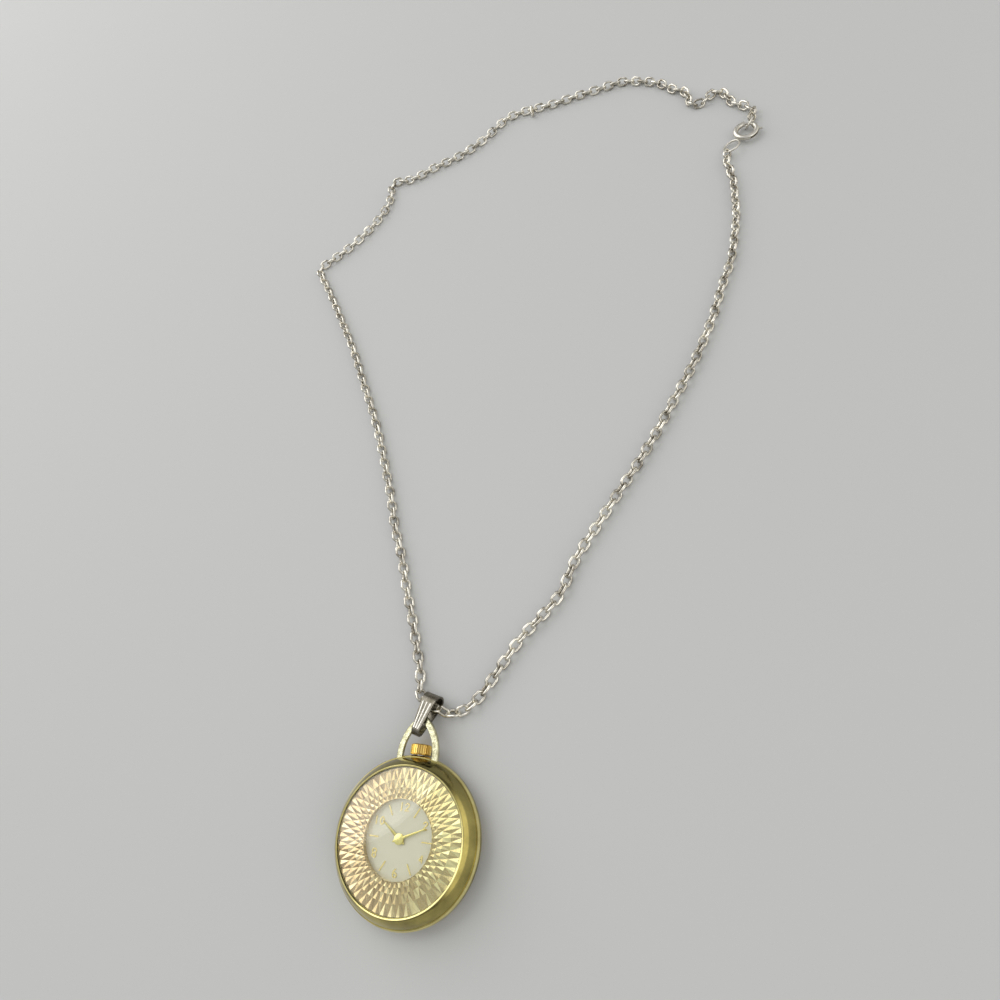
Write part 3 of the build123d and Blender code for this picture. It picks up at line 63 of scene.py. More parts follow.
# CHAIN
# A cable chain of round nickel-silver wire.  Each link is bent to a long loop and closed round the
# link before it, so that neighbours stand a quarter turn apart and lean both ways on the table.
link_wire_radius = 0.00035
link_bend_radius = 0.00115
link_straight = 0.00096
link_roll = radians(45)
link_bend_steps = 14
link_wire_sides = 7
link_count = 225
bail_joint = 78
rest = 0.001163
arch_tip = 0.0269
chain_route = [
    (0.0719, 0.1711, 0.0013), (0.0710, 0.168, rest), (0.0722, 0.1636, rest), (0.0733, 0.1581, rest),
    (0.0734, 0.1521, rest), (0.0738, 0.1456, rest), (0.0729, 0.1366, rest), (0.0720, 0.1281, rest),
    (0.0693, 0.1199, rest), (0.0672, 0.1106, rest), (0.0641, 0.1011, rest), (0.0606, 0.0919, rest),
    (0.0563, 0.0829, rest), (0.0521, 0.0735, rest), (0.0474, 0.0646, rest), (0.0424, 0.056, rest),
    (0.0377, 0.0475, rest), (0.0326, 0.0387, rest), (0.0307, 0.031, rest), (0.0262, 0.0253, rest),
    (0.0211, 0.0197, rest), (0.0164, 0.0118, rest), (0.0128, 0.0054, rest), (0.0092, 0.0017, rest),
    (0.0054, 0.0004, 0.0013), (0.0022, 0.0018, 0.00185), (-0.0009, 0.0027, 0.00195),
    (-0.0031, 0.0043, 0.0017), (-0.0035, 0.0071, 0.00125), (-0.0040, 0.0103, rest),
    (-0.0058, 0.0151, rest), (-0.0082, 0.0226, rest), (-0.0119, 0.0316, rest), (-0.0151, 0.0414, rest),
    (-0.0189, 0.0496, rest), (-0.0212, 0.0573, rest), (-0.0244, 0.0659, rest), (-0.0283, 0.0757, rest),
    (-0.0320, 0.0848, rest), (-0.0389, 0.0983, rest), (-0.0456, 0.1123, rest), (-0.0532, 0.1256, rest),
    (-0.0606, 0.1381, rest), (-0.0659, 0.1465, rest), (-0.0697, 0.1522, rest), (-0.0646, 0.1553, rest),
    (-0.0586, 0.1597, rest), (-0.0523, 0.1664, rest), (-0.0473, 0.1741, rest), (-0.0453, 0.1815, rest),
    (-0.0470, 0.1877, rest), (-0.0440, 0.1901, rest), (-0.0398, 0.1884, rest), (-0.0346, 0.1903, rest),
    (-0.0298, 0.193, rest), (-0.0222, 0.195, rest), (-0.0149, 0.1991, rest), (-0.0090, 0.2046, rest),
    (-0.0038, 0.2115, rest), (0.0045, 0.2123, rest), (0.0135, 0.2122, rest), (0.0220, 0.2139, rest),
    (0.0310, 0.2145, rest), (0.0372, 0.2161, rest), (0.0452, 0.2131, rest), (0.0514, 0.21, rest),
    (0.0552, 0.2049, rest), (0.0592, 0.2037, rest), (0.0602, 0.1997, rest), (0.0604, 0.1963, rest),
    (0.0640, 0.1947, rest), (0.0660, 0.1975, rest), (0.0686, 0.2001, rest), (0.0718, 0.1979, rest),
    (0.0727, 0.1933, rest), (0.0761, 0.1907, rest), (0.0795, 0.1881, rest), (0.0799, 0.1851, 0.0013),
    (0.07875, 0.1826, 0.00155)]


def natural(bm):
    """Merges doubles and turns every face outwards."""
    bmesh.ops.remove_doubles(bm, verts=bm.verts, dist=1e-7)
    bmesh.ops.recalc_face_normals(bm, faces=bm.faces)


def piece(name, bm, material, body, sharp=40.0):
    """Makes a finished object from a bmesh, smooth but for edges sharper than the angle."""
    mesh = bpy.data.meshes.new(name)
    bm.to_mesh(mesh)
    bm.free()
    mesh.polygons.foreach_set("use_smooth", [True] * len(mesh.polygons))
    mesh.set_sharp_from_angle(angle=radians(sharp))
    mesh.materials.append(material)
    made = bpy.data.objects.new(name, mesh)
    scene.collection.objects.link(made)
    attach(made, body)
    return made


def socket(group, name, kind, way, start=None):
    """Adds a named socket to a node group."""
    made = group.interface.new_socket(name=name, in_out=way, socket_type=kind)
    if start is not None:
        made.default_value = start
    return made


# Worn plating, used by every metal but the facet ring's gold: blotches of a second tone, a changing
# roughness and a fine relief, each at its own scale in the object's own coordinates.
worn_metal = bpy.data.node_groups.new("worn_metal", "ShaderNodeTree")
socket(worn_metal, "Tone", "NodeSocketColor", "INPUT", (0.8, 0.8, 0.8, 1.0))
socket(worn_metal, "Worn Tone", "NodeSocketColor", "INPUT", (0.5, 0.5, 0.5, 1.0))
socket(worn_metal, "Wear", "NodeSocketFloat", "INPUT", 0.5)
socket(worn_metal, "Blotch Scale", "NodeSocketFloat", "INPUT", 400.0)
socket(worn_metal, "Grain Scale", "NodeSocketFloat", "INPUT", 3000.0)
socket(worn_metal, "Roughness", "NodeSocketFloat", "INPUT", 0.25)
socket(worn_metal, "Roughness Spread", "NodeSocketFloat", "INPUT", 0.1)
socket(worn_metal, "Relief", "NodeSocketFloat", "INPUT", 0.1)
socket(worn_metal, "Color", "NodeSocketColor", "OUTPUT")
socket(worn_metal, "Roughness", "NodeSocketFloat", "OUTPUT")
socket(worn_metal, "Normal", "NodeSocketVector", "OUTPUT")
wear_nodes, wear_links = worn_metal.nodes, worn_metal.links
wear_in = wear_nodes.new("NodeGroupInput")
wear_out = wear_nodes.new("NodeGroupOutput")
wear_place = wear_nodes.new("ShaderNodeTexCoord")
blotch = wear_nodes.new("ShaderNodeTexNoise")
blotch.inputs["Detail"].default_value = 6.0
blotch.inputs["Roughness"].default_value = 0.62
grain = wear_nodes.new("ShaderNodeTexNoise")
grain.inputs["Detail"].default_value = 3.0
blotch_mask = wear_nodes.new("ShaderNodeMapRange")
blotch_mask.inputs["From Min"].default_value = 0.42
blotch_mask.inputs["From Max"].default_value = 0.66
wear_amount = wear_nodes.new("ShaderNodeMath")
wear_amount.operation = "MULTIPLY"
wear_mix = wear_nodes.new("ShaderNodeMix")
wear_mix.data_type = "RGBA"
rough_change = wear_nodes.new("ShaderNodeMath")
rough_change.operation = "MULTIPLY"
rough_sum = wear_nodes.new("ShaderNodeMath")
rough_sum.operation = "ADD"
grain_bump = wear_nodes.new("ShaderNodeBump")
grain_bump.inputs["Distance"].default_value = 0.0001
wear_links.new(wear_place.outputs["Object"], blotch.inputs["Vector"])
wear_links.new(wear_place.outputs["Object"], grain.inputs["Vector"])
wear_links.new(wear_in.outputs["Blotch Scale"], blotch.inputs["Scale"])
wear_links.new(wear_in.outputs["Grain Scale"], grain.inputs["Scale"])
wear_links.new(blotch.outputs["Fac"], blotch_mask.inputs["Value"])
wear_links.new(blotch_mask.outputs["Result"], wear_amount.inputs[0])
wear_links.new(wear_in.outputs["Wear"], wear_amount.inputs[1])
wear_links.new(wear_amount.outputs["Value"], wear_mix.inputs["Factor"])
wear_links.new(wear_in.outputs["Tone"], wear_mix.inputs["A"])
wear_links.new(wear_in.outputs["Worn Tone"], wear_mix.inputs["B"])
wear_links.new(wear_mix.outputs["Result"], wear_out.inputs["Color"])
wear_links.new(grain.outputs["Fac"], rough_change.inputs[0])
wear_links.new(wear_in.outputs["Roughness Spread"], rough_change.inputs[1])
wear_links.new(rough_change.outputs["Value"], rough_sum.inputs[0])
wear_links.new(wear_in.outputs["Roughness"], rough_sum.inputs[1])
wear_links.new(rough_sum.outputs["Value"], wear_out.inputs["Roughness"])
wear_links.new(grain.outputs["Fac"], grain_bump.inputs["Height"])
wear_links.new(wear_in.outputs["Relief"], grain_bump.inputs["Strength"])
wear_links.new(grain_bump.outputs["Normal"], wear_out.inputs["Normal"])


def metal(name, tone, worn, wear, blotch_scale, grain_scale, rough, spread, relief):
    """A metal whose tone, roughness and relief come from the worn plating."""
    made = bpy.data.materials.new(name)
    made.use_nodes = True
    shader = made.node_tree.nodes["Principled BSDF"]
    shader.inputs["Metallic"].default_value = 1.0
    plating = made.node_tree.nodes.new("ShaderNodeGroup")
    plating.node_tree = worn_metal
    plating.name = "plating"
    plating.inputs["Tone"].default_value = (*tone, 1.0)
    plating.inputs["Worn Tone"].default_value = (*worn, 1.0)
    plating.inputs["Wear"].default_value = wear
    plating.inputs["Blotch Scale"].default_value = blotch_scale
    plating.inputs["Grain Scale"].default_value = grain_scale
    plating.inputs["Roughness"].default_value = rough
    plating.inputs["Roughness Spread"].default_value = spread
    plating.inputs["Relief"].default_value = relief
    made.node_tree.links.new(plating.outputs["Color"], shader.inputs["Base Color"])
    made.node_tree.links.new(plating.outputs["Roughness"], shader.inputs["Roughness"])
    made.node_tree.links.new(plating.outputs["Normal"], shader.inputs["Normal"])
    return made


chain_curve = bpy.data.curves.new("chain_line", "CURVE")
chain_curve.dimensions = "3D"
chain_curve.resolution_u = 16
chain_spline = chain_curve.splines.new("NURBS")
chain_spline.points.add(len(chain_route) - 1)
for point, place in zip(chain_spline.points, chain_route):
    point.co = (place[0], arch_tip + place[1], place[2], 1.0)
chain_spline.order_u = 3
chain_spline.use_endpoint_u = True
chain_guide = bpy.data.objects.new("chain_line", chain_curve)
chain_line = [vertex.co.copy() for vertex in bpy.data.meshes.new_from_object(chain_guide).vertices]
bpy.data.objects.remove(chain_guide)
line_steps = [0.0]
for near, far in zip(chain_line, chain_line[1:]):
    line_steps.append(line_steps[-1] + (far - near).length)


def on_line(distance):
    """The point of the chain's line at a distance from its start."""
    for i in range(1, len(chain_line)):
        if distance <= line_steps[i]:
            share = (distance - line_steps[i - 1]) / (line_steps[i] - line_steps[i - 1])
            return chain_line[i - 1].lerp(chain_line[i], share)
    return chain_line[-1].copy()


def rolled(way, roll):
    """Normal of a link that lies along a direction, turned about it."""
    side = Vector((0, 0, 1)).cross(way).normalized()
    return way.cross(side) * cos(roll) + side * sin(roll)


def frame_of(origin, along, normal):
    """Placement matrix with X along a direction and Z along a normal."""
    across = normal.cross(along)
    return Matrix((
        (along.x, across.x, normal.x, origin.x),
        (along.y, across.y, normal.y, origin.y),
        (along.z, across.z, normal.z, origin.z),
        (0.0, 0.0, 0.0, 1.0)))


def wire_loop(bend_radius, wire_radius, straight, steps, sides):
    """A closed loop of round wire in the XY plane, its two halves drawn apart along X."""
    bm = bmesh.new()
    upright = Matrix.Translation((bend_radius, 0, 0)) @ Matrix.Rotation(pi / 2, 4, "X")
    bmesh.ops.create_circle(bm, radius=wire_radius, segments=sides, matrix=upright)
    bmesh.ops.rotate(bm, verts=bm.verts, cent=(0, 0, 0), matrix=Matrix.Rotation(pi / steps, 3, "Z"))
    bmesh.ops.spin(bm, geom=bm.verts[:] + bm.edges[:], cent=(0, 0, 0), axis=(0, 0, 1), angle=2 * pi,
                   steps=steps, use_merge=True)
    for side in (-1, 1):
        half = [v for v in bm.verts if v.co.x * side > 0]
        bmesh.ops.translate(bm, verts=half, vec=(side * straight / 2, 0, 0))
    natural(bm)
    return bm


joints = [on_line(line_steps[-1] * i / link_count) for i in range(link_count + 1)]
link_bm = wire_loop(link_bend_radius, link_wire_radius, link_straight, link_bend_steps, link_wire_sides)
link_mesh = bpy.data.meshes.new("link")
link_bm.to_mesh(link_mesh)
link_bm.free()
chain_metal = metal("chain_nickel", (0.93, 0.89, 0.79), (0.18, 0.15, 0.11), wear=0.85, blotch_scale=420,
                    grain_scale=2600, rough=0.12, spread=0.16, relief=0.2)


def chain_run(name, first, last):
    """A run of links between two joints of the chain's line, as one piece."""
    bm = bmesh.new()
    for i in range(first, last):
        way = (joints[i + 1] - joints[i]).normalized()
        roll = link_roll if i % 2 == 0 else -link_roll
        before = len(bm.verts)
        bm.from_mesh(link_mesh)
        bm.verts.ensure_lookup_table()
        bmesh.ops.transform(bm, verts=bm.verts[before:],
                            matrix=frame_of((joints[i] + joints[i + 1]) / 2, way, rolled(way, roll)))
    return piece(name, bm, chain_metal, "watch_case", sharp=80)


right_run = chain_run("chain_right", 0, bail_joint)
left_run = chain_run("chain_left", bail_joint, link_count)
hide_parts("chain_right_run")
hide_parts("chain_left_run")

# CASE
# Turned brass with a thick gold plating, polished, with a painted dark reflection that deepens towards
# the crown: a snapped-on back, a middle that carries the crown's tube and the arch, and a wide sloping
# bezel pressed over it.  The rim of the middle and the bezel's edges carry a brighter painted
# highlight.
case_shoulder = 0.00402
case_rim_inside = 0.0168
bezel_steps = 180
bezel_foot = (0.01705, 0.00485)
bezel_top = (0.0152, 0.00778)
bezel_bow = 0.00015
bezel_bow_steps = 12
bezel_lip_depth = 0.00002
bezel_inside = [
    (0.01512, 0.00782), (0.01500, 0.00780), (0.01486, 0.00775), (0.01482, 0.00768),
    (0.01503, 0.00764), (0.01503, 0.00728), (0.0146, 0.00728), (0.0146, 0.0071),
    (0.01495, 0.0069), (0.01495, 0.0046), (0.01700, 0.0046), (0.01705, 0.0047)]


def bowed(start, end, bow, steps):
    """Points of a shallow arc between two (radius, height) points, bulging outwards."""
    length = hypot(end[0] - start[0], end[1] - start[1])
    normal = ((end[1] - start[1]) / length, -(end[0] - start[0]) / length)
    points = []
    for i in range(steps + 1):
        share = i / steps
        rise = 4 * bow * share * (1 - share)
        points.append((start[0] + (end[0] - start[0]) * share + normal[0] * rise,
                       start[1] + (end[1] - start[1]) * share + normal[1] * rise))
    return points


def turned(points, steps):
    """A solid of revolution about the watch's axis from its closed (radius, height) outline."""
    bm = bmesh.new()
    corners = [bm.verts.new((radius, 0, height)) for radius, height in points]
    for near, far in zip(corners, corners[1:] + corners[:1]):
        bm.edges.new((near, far))
    bmesh.ops.spin(bm, geom=bm.verts[:] + bm.edges[:], cent=(0, 0, 0), axis=(0, 0, 1), angle=2 * pi,
                   steps=steps, use_merge=True)
    natural(bm)
    return bm


def dress(material, *nodes):
    """Gives CAD nodes a material."""
    for name in nodes:
        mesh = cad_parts[name].data
        mesh.materials.clear()
        mesh.materials.append(material)


case_gold = metal("case_gold", (0.58, 0.49, 0.16), (0.20, 0.17, 0.06), wear=0.8, blotch_scale=75,
                  grain_scale=3500, rough=0.06, spread=0.08, relief=0.04)
# Painted highlight: a brighter copy of the case gold, laid on the middle's rim and the bezel's foot and
# lip.
rim_painted_highlight_gold = metal("rim_painted_highlight_gold", (0.80, 0.71, 0.32), (0.56, 0.46, 0.17), wear=0.6, blotch_scale=300,
                  grain_scale=3500, rough=0.14, spread=0.10, relief=0.04)
# Painted dark reflection: the case gold is mixed up to 0.6 towards a dark olive as Y grows from 4 to 13
# mm, towards the crown.
gold_nodes, gold_links = case_gold.node_tree.nodes, case_gold.node_tree.links
gold_place = gold_nodes.new("ShaderNodeTexCoord")
gold_split = gold_nodes.new("ShaderNodeSeparateXYZ")
gold_reflection_fade = gold_nodes.new("ShaderNodeMapRange")
gold_reflection_fade.inputs["From Min"].default_value = 0.004
gold_reflection_fade.inputs["From Max"].default_value = 0.013
gold_reflection_fade.inputs["To Max"].default_value = 0.6
gold_painted_reflection = gold_nodes.new("ShaderNodeMix")
gold_painted_reflection.data_type = "RGBA"
gold_painted_reflection.inputs["B"].default_value = (0.16, 0.14, 0.06, 1.0)
gold_links.new(gold_place.outputs["Object"], gold_split.inputs["Vector"])
gold_links.new(gold_split.outputs["Y"], gold_reflection_fade.inputs["Value"])
gold_links.new(gold_reflection_fade.outputs["Result"], gold_painted_reflection.inputs["Factor"])
gold_links.new(gold_nodes["plating"].outputs["Color"], gold_painted_reflection.inputs["A"])
gold_links.new(gold_painted_reflection.outputs["Result"], gold_nodes["Principled BSDF"].inputs["Base Color"])
dress(case_gold, "case_back", "case_middle")
case_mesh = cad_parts["case_middle"].data
case_mesh.materials.append(rim_painted_highlight_gold)
case_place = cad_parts["case_middle"].matrix_world
# Faces on the middle's rim take the painted highlight gold.
for face in case_mesh.polygons:
    middle = case_place @ face.center
    if middle.z > case_shoulder and middle.xy.length > case_rim_inside:
        face.material_index = 1
bezel_profile = bowed(bezel_foot, bezel_top, bezel_bow, bezel_bow_steps) + bezel_inside
bezel = piece("bezel_ring", turned(bezel_profile, bezel_steps), case_gold, "watch_case", sharp=30)
bezel.data.materials.append(rim_painted_highlight_gold)
# The bezel's foot and top lip take the painted highlight gold.
for face in bezel.data.polygons:
    if face.center.z < bezel_foot[1] or face.center.z > bezel_top[1] - bezel_lip_depth:
        face.material_index = 1
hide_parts("bezel")

# CRYSTAL
# A clear domed crystal pressed into the bezel, with a polished edge that stands a little above it.
crystal_radius = 0.0150
crystal_edge = 0.0076
crystal_top = 0.0092
crystal_seat = 0.0073
crystal_seat_radius = 0.0146
crystal_inside_top = 0.0084
crystal_steps = 128
dome_steps = 20


def dome(radius, low, high):
    """Points of a sphere's outline from the axis down to a rim."""
    sphere = (radius ** 2 + (high - low) ** 2) / (2 * (high - low))
    half = asin(radius / sphere)
    return [(sphere * sin(half * i / dome_steps), high - sphere + sphere * cos(half * i / dome_steps))
            for i in range(dome_steps + 1)]


clear = bpy.data.materials.new("crystal_clear")
clear.use_nodes = True
clear_nodes, clear_links = clear.node_tree.nodes, clear.node_tree.links
clear_shader = clear_nodes["Principled BSDF"]
clear_shader.inputs["Base Color"].default_value = (0.99, 0.99, 0.98, 1.0)
clear_shader.inputs["Roughness"].default_value = 0.0
clear_shader.inputs["IOR"].default_value = 1.45
clear_shader.inputs["Transmission Weight"].default_value = 1.0
clear_pass = clear_nodes.new("ShaderNodeBsdfTransparent")
clear_mix = clear_nodes.new("ShaderNodeMixShader")
clear_path = clear_nodes.new("ShaderNodeLightPath")
clear_either = clear_nodes.new("ShaderNodeMath")
clear_either.operation = "MAXIMUM"
clear_links.new(clear_path.outputs["Is Shadow Ray"], clear_either.inputs[0])
clear_links.new(clear_path.outputs["Is Diffuse Ray"], clear_either.inputs[1])
clear_links.new(clear_either.outputs["Value"], clear_mix.inputs["Fac"])
clear_links.new(clear_shader.outputs["BSDF"], clear_mix.inputs[1])
clear_links.new(clear_pass.outputs["BSDF"], clear_mix.inputs[2])
clear_links.new(clear_mix.outputs["Shader"], clear_nodes["Material Output"].inputs["Surface"])
crystal_profile = dome(crystal_radius, crystal_edge, crystal_top) + [
    (crystal_radius, crystal_seat), (crystal_seat_radius, crystal_seat)]
crystal_profile += dome(crystal_seat_radius, crystal_seat, crystal_inside_top)[-2::-1]
crystal = piece("crystal_dome", turned(crystal_profile, crystal_steps), clear, "watch_case", sharp=35)
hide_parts("crystal")

# FACETED RING
# A brass ring that rises towards the dial, cut with crossing rows of long diamonds that grow towards
# the bezel, plated in champagne gold.  Every cut face is flat and mirrors the light its own way.  A
# painted light cast tints the gold pinker on the left and yellower on the right.
facet_radii = (0.0081, 0.00825, 0.0092, 0.0104, 0.0122, 0.01455)
facet_columns = 96
facet_base = 0.00655
facet_inner_top = 0.00785
facet_outer_top = 0.00715
facet_cut = 0.00022
facet_base_margin = 0.00001
facet_tone_scale = 3000

facet_profile = [(radius, facet_inner_top + (facet_outer_top - facet_inner_top)
                  * (radius - facet_radii[0]) / (facet_radii[-1] - facet_radii[0]))
                 for radius in facet_radii]
facet_bm = turned(facet_profile + [(facet_radii[-1], facet_base), (facet_radii[0], facet_base)],
                  facet_columns)
facet_low = []
for vertex in facet_bm.verts:
    radius = hypot(vertex.co.x, vertex.co.y)
    row = min(range(len(facet_radii)), key=lambda k: abs(facet_radii[k] - radius))
    column = round(degrees(Vector((1, 0)).angle_signed(vertex.co.xy)) % 360 * facet_columns / 360)
    if vertex.co.z > facet_base + facet_base_margin and row > 0 and (row + column) % 2:
        vertex.co.z -= facet_cut
        facet_low.append(vertex)
bmesh.ops.connect_verts(facet_bm, verts=facet_low)
bmesh.ops.triangulate(facet_bm, faces=[face for face in facet_bm.faces if len(face.verts) > 3])
facet_tone = facet_bm.faces.layers.float.new("facet_tone")
for face in facet_bm.faces:
    middle = face.calc_center_median()
    face[facet_tone] = noise.cell(middle * facet_tone_scale)

facet_gold = bpy.data.materials.new("facet_gold")
facet_gold.use_nodes = True
facet_nodes, facet_links = facet_gold.node_tree.nodes, facet_gold.node_tree.links
facet_shader = facet_nodes["Principled BSDF"]
facet_shader.inputs["Metallic"].default_value = 1.0
facet_value = facet_nodes.new("ShaderNodeAttribute")
facet_value.attribute_name = "facet_tone"
facet_ramp = facet_nodes.new("ShaderNodeValToRGB")
facet_ramp.color_ramp.elements[0].color = (0.62, 0.52, 0.34, 1.0)
facet_ramp.color_ramp.elements[1].color = (0.92, 0.86, 0.62, 1.0)
facet_links.new(facet_value.outputs["Fac"], facet_ramp.inputs["Fac"])
# Painted light cast: the facet gold is multiplied by a pinker tint on the left (-X) and a yellower one
# on the right (+X).
facet_place = facet_nodes.new("ShaderNodeTexCoord")
facet_split = facet_nodes.new("ShaderNodeSeparateXYZ")
facet_cast_side = facet_nodes.new("ShaderNodeMapRange")
facet_cast_side.inputs["From Min"].default_value = -0.012
facet_cast_side.inputs["From Max"].default_value = 0.012
facet_painted_cast = facet_nodes.new("ShaderNodeMix")
facet_painted_cast.data_type = "RGBA"
facet_painted_cast.inputs["A"].default_value = (1.0, 0.90, 0.76, 1.0)
facet_painted_cast.inputs["B"].default_value = (0.98, 1.0, 0.70, 1.0)
facet_tint = facet_nodes.new("ShaderNodeMix")
facet_tint.data_type = "RGBA"
facet_tint.blend_type = "MULTIPLY"
facet_tint.inputs["Factor"].default_value = 1.0
facet_links.new(facet_place.outputs["Object"], facet_split.inputs["Vector"])
facet_links.new(facet_split.outputs["X"], facet_cast_side.inputs["Value"])
facet_links.new(facet_cast_side.outputs["Result"], facet_painted_cast.inputs["Factor"])
facet_links.new(facet_ramp.outputs["Color"], facet_tint.inputs["A"])
facet_links.new(facet_painted_cast.outputs["Result"], facet_tint.inputs["B"])
facet_links.new(facet_tint.outputs["Result"], facet_shader.inputs["Base Color"])
facet_rough = facet_nodes.new("ShaderNodeMapRange")
facet_rough.inputs["To Min"].default_value = 0.20
facet_rough.inputs["To Max"].default_value = 0.36
facet_links.new(facet_value.outputs["Fac"], facet_rough.inputs["Value"])
facet_links.new(facet_rough.outputs["Result"], facet_shader.inputs["Roughness"])
facets = piece("facet_star", facet_bm, facet_gold, "watch_case", sharp=1)
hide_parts("facet_ring")

# DIAL
# A silvered cream dial with a fine sunray brushing, pressed gold numerals at the even hours and
# gold batons at the odd ones.
dial_paint = bpy.data.materials.new("dial_cream")
dial_paint.use_nodes = True
dial_nodes, dial_links = dial_paint.node_tree.nodes, dial_paint.node_tree.links
dial_shader = dial_nodes["Principled BSDF"]
dial_shader.inputs["Metallic"].default_value = 0.35
dial_place = dial_nodes.new("ShaderNodeTexCoord")
dial_split = dial_nodes.new("ShaderNodeSeparateXYZ")
dial_angle = dial_nodes.new("ShaderNodeMath")
dial_angle.operation = "ARCTAN2"
dial_ray = dial_nodes.new("ShaderNodeTexNoise")
dial_ray.noise_dimensions = "1D"
dial_ray.inputs["Scale"].default_value = 60.0
dial_ray.inputs["Detail"].default_value = 4.0
dial_links.new(dial_place.outputs["Object"], dial_split.inputs["Vector"])
dial_links.new(dial_split.outputs["Y"], dial_angle.inputs[0])
dial_links.new(dial_split.outputs["X"], dial_angle.inputs[1])
dial_links.new(dial_angle.outputs["Value"], dial_ray.inputs["W"])
dial_ramp = dial_nodes.new("ShaderNodeValToRGB")
dial_ramp.color_ramp.elements[0].color = (0.62, 0.60, 0.45, 1.0)
dial_ramp.color_ramp.elements[1].color = (0.70, 0.68, 0.52, 1.0)
dial_links.new(dial_ray.outputs["Fac"], dial_ramp.inputs["Fac"])
dial_links.new(dial_ramp.outputs["Color"], dial_shader.inputs["Base Color"])
dial_rough = dial_nodes.new("ShaderNodeMapRange")
dial_rough.inputs["To Min"].default_value = 0.30
dial_rough.inputs["To Max"].default_value = 0.42
dial_links.new(dial_ray.outputs["Fac"], dial_rough.inputs["Value"])
dial_links.new(dial_rough.outputs["Result"], dial_shader.inputs["Roughness"])
dress(dial_paint, "dial")
mark_gold = metal("mark_gold", (0.82, 0.70, 0.30), (0.62, 0.50, 0.18), wear=0.3, blotch_scale=900,
                  grain_scale=4000, rough=0.2, spread=0.1, relief=0.05)
dress(mark_gold, "hour_batons", "hour_numerals")

# HANDS
# Stamped brass hands, ridged along the middle and polished, on a stepped hub that caps the pipes.
hand_gold = metal("hand_gold", (0.96, 0.88, 0.32), (0.78, 0.68, 0.22), wear=0.25, blotch_scale=900,
                  grain_scale=4000, rough=0.14, spread=0.08, relief=0.05)
hand_tail = 0.0015
hand_tip = 0.00002
hand_hub_radius = 0.0011
hand_hub_step = 0.7
hand_hub_top = 0.8
hand_cap_steps = 24


def ridged_hand(name, body, angle, length, width, low, cap):
    """A hand with a ridge along its blade and a stepped round hub."""
    bm = bmesh.new()
    stations = ((-hand_tail, width / 4), (0.0, width / 2), (length - width, width / 4),
                (length, hand_tip))
    rows = [[bm.verts.new((x, y, z)) for x, z in
             ((-half, low), (-half, low + cap / 4), (0, low + cap), (half, low + cap / 4), (half, low))]
            for y, half in stations]
    for near, far in zip(rows, rows[1:]):
        for k in range(5):
            bm.faces.new((near[k], near[(k + 1) % 5], far[(k + 1) % 5], far[k]))
    bm.faces.new(rows[0])
    bm.faces.new(rows[-1][::-1])
    hub = [(0, low), (hand_hub_radius, low), (hand_hub_radius, low + cap * hand_hub_step),
           (hand_hub_radius * hand_hub_top, low + cap), (0, low + cap)]
    hub_bm = turned(hub, hand_cap_steps)
    hub_mesh = bpy.data.meshes.new("hub")
    hub_bm.to_mesh(hub_mesh)
    hub_bm.free()
    bm.from_mesh(hub_mesh)
    bpy.data.meshes.remove(hub_mesh)
    bmesh.ops.rotate(bm, verts=bm.verts, cent=(0, 0, 0), matrix=Matrix.Rotation(angle, 3, "Z"))
    bmesh.ops.recalc_face_normals(bm, faces=bm.faces)
    return piece(name, bm, hand_gold, body, sharp=25)


hour_hand = ridged_hand("hour_hand_ridged", "hour_work", angle=radians(-305.5), length=0.0057,
                        width=0.00075, low=0.00672, cap=0.00016)
minute_hand = ridged_hand("minute_hand_ridged", "minute_work", angle=radians(-66), length=0.0066,
                          width=0.0006, low=0.00702, cap=0.0002)
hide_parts("hour_hand")
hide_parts("minute_hand")
dress(hand_gold, "hour_wheel", "cannon_pinion")

# CROWN
# A fluted winding crown in a warmer, redder gold than the case.  Its colour darkens between the flutes
# and keeps the plated tone on their tips.
crown_gold = metal("crown_gold", (1.0, 0.78, 0.26), (0.86, 0.50, 0.12), wear=0.6, blotch_scale=500,
                   grain_scale=3000, rough=0.16, spread=0.12, relief=0.1)
crown_axis_height = 0.00275
crown_flutes = 28
crown_nodes, crown_links = crown_gold.node_tree.nodes, crown_gold.node_tree.links
crown_place = crown_nodes.new("ShaderNodeTexCoord")
crown_split = crown_nodes.new("ShaderNodeSeparateXYZ")
crown_rise = crown_nodes.new("ShaderNodeMath")
crown_rise.operation = "SUBTRACT"
crown_rise.inputs[1].default_value = crown_axis_height
crown_angle = crown_nodes.new("ShaderNodeMath")
crown_angle.operation = "ARCTAN2"
crown_turns = crown_nodes.new("ShaderNodeMath")
crown_turns.operation = "MULTIPLY"
crown_turns.inputs[1].default_value = crown_flutes
crown_wave = crown_nodes.new("ShaderNodeMath")
crown_wave.operation = "COSINE"
crown_groove = crown_nodes.new("ShaderNodeMapRange")
crown_groove.inputs["From Min"].default_value = 0.1
crown_groove.inputs["From Max"].default_value = -0.9
crown_groove.inputs["To Max"].default_value = 0.75
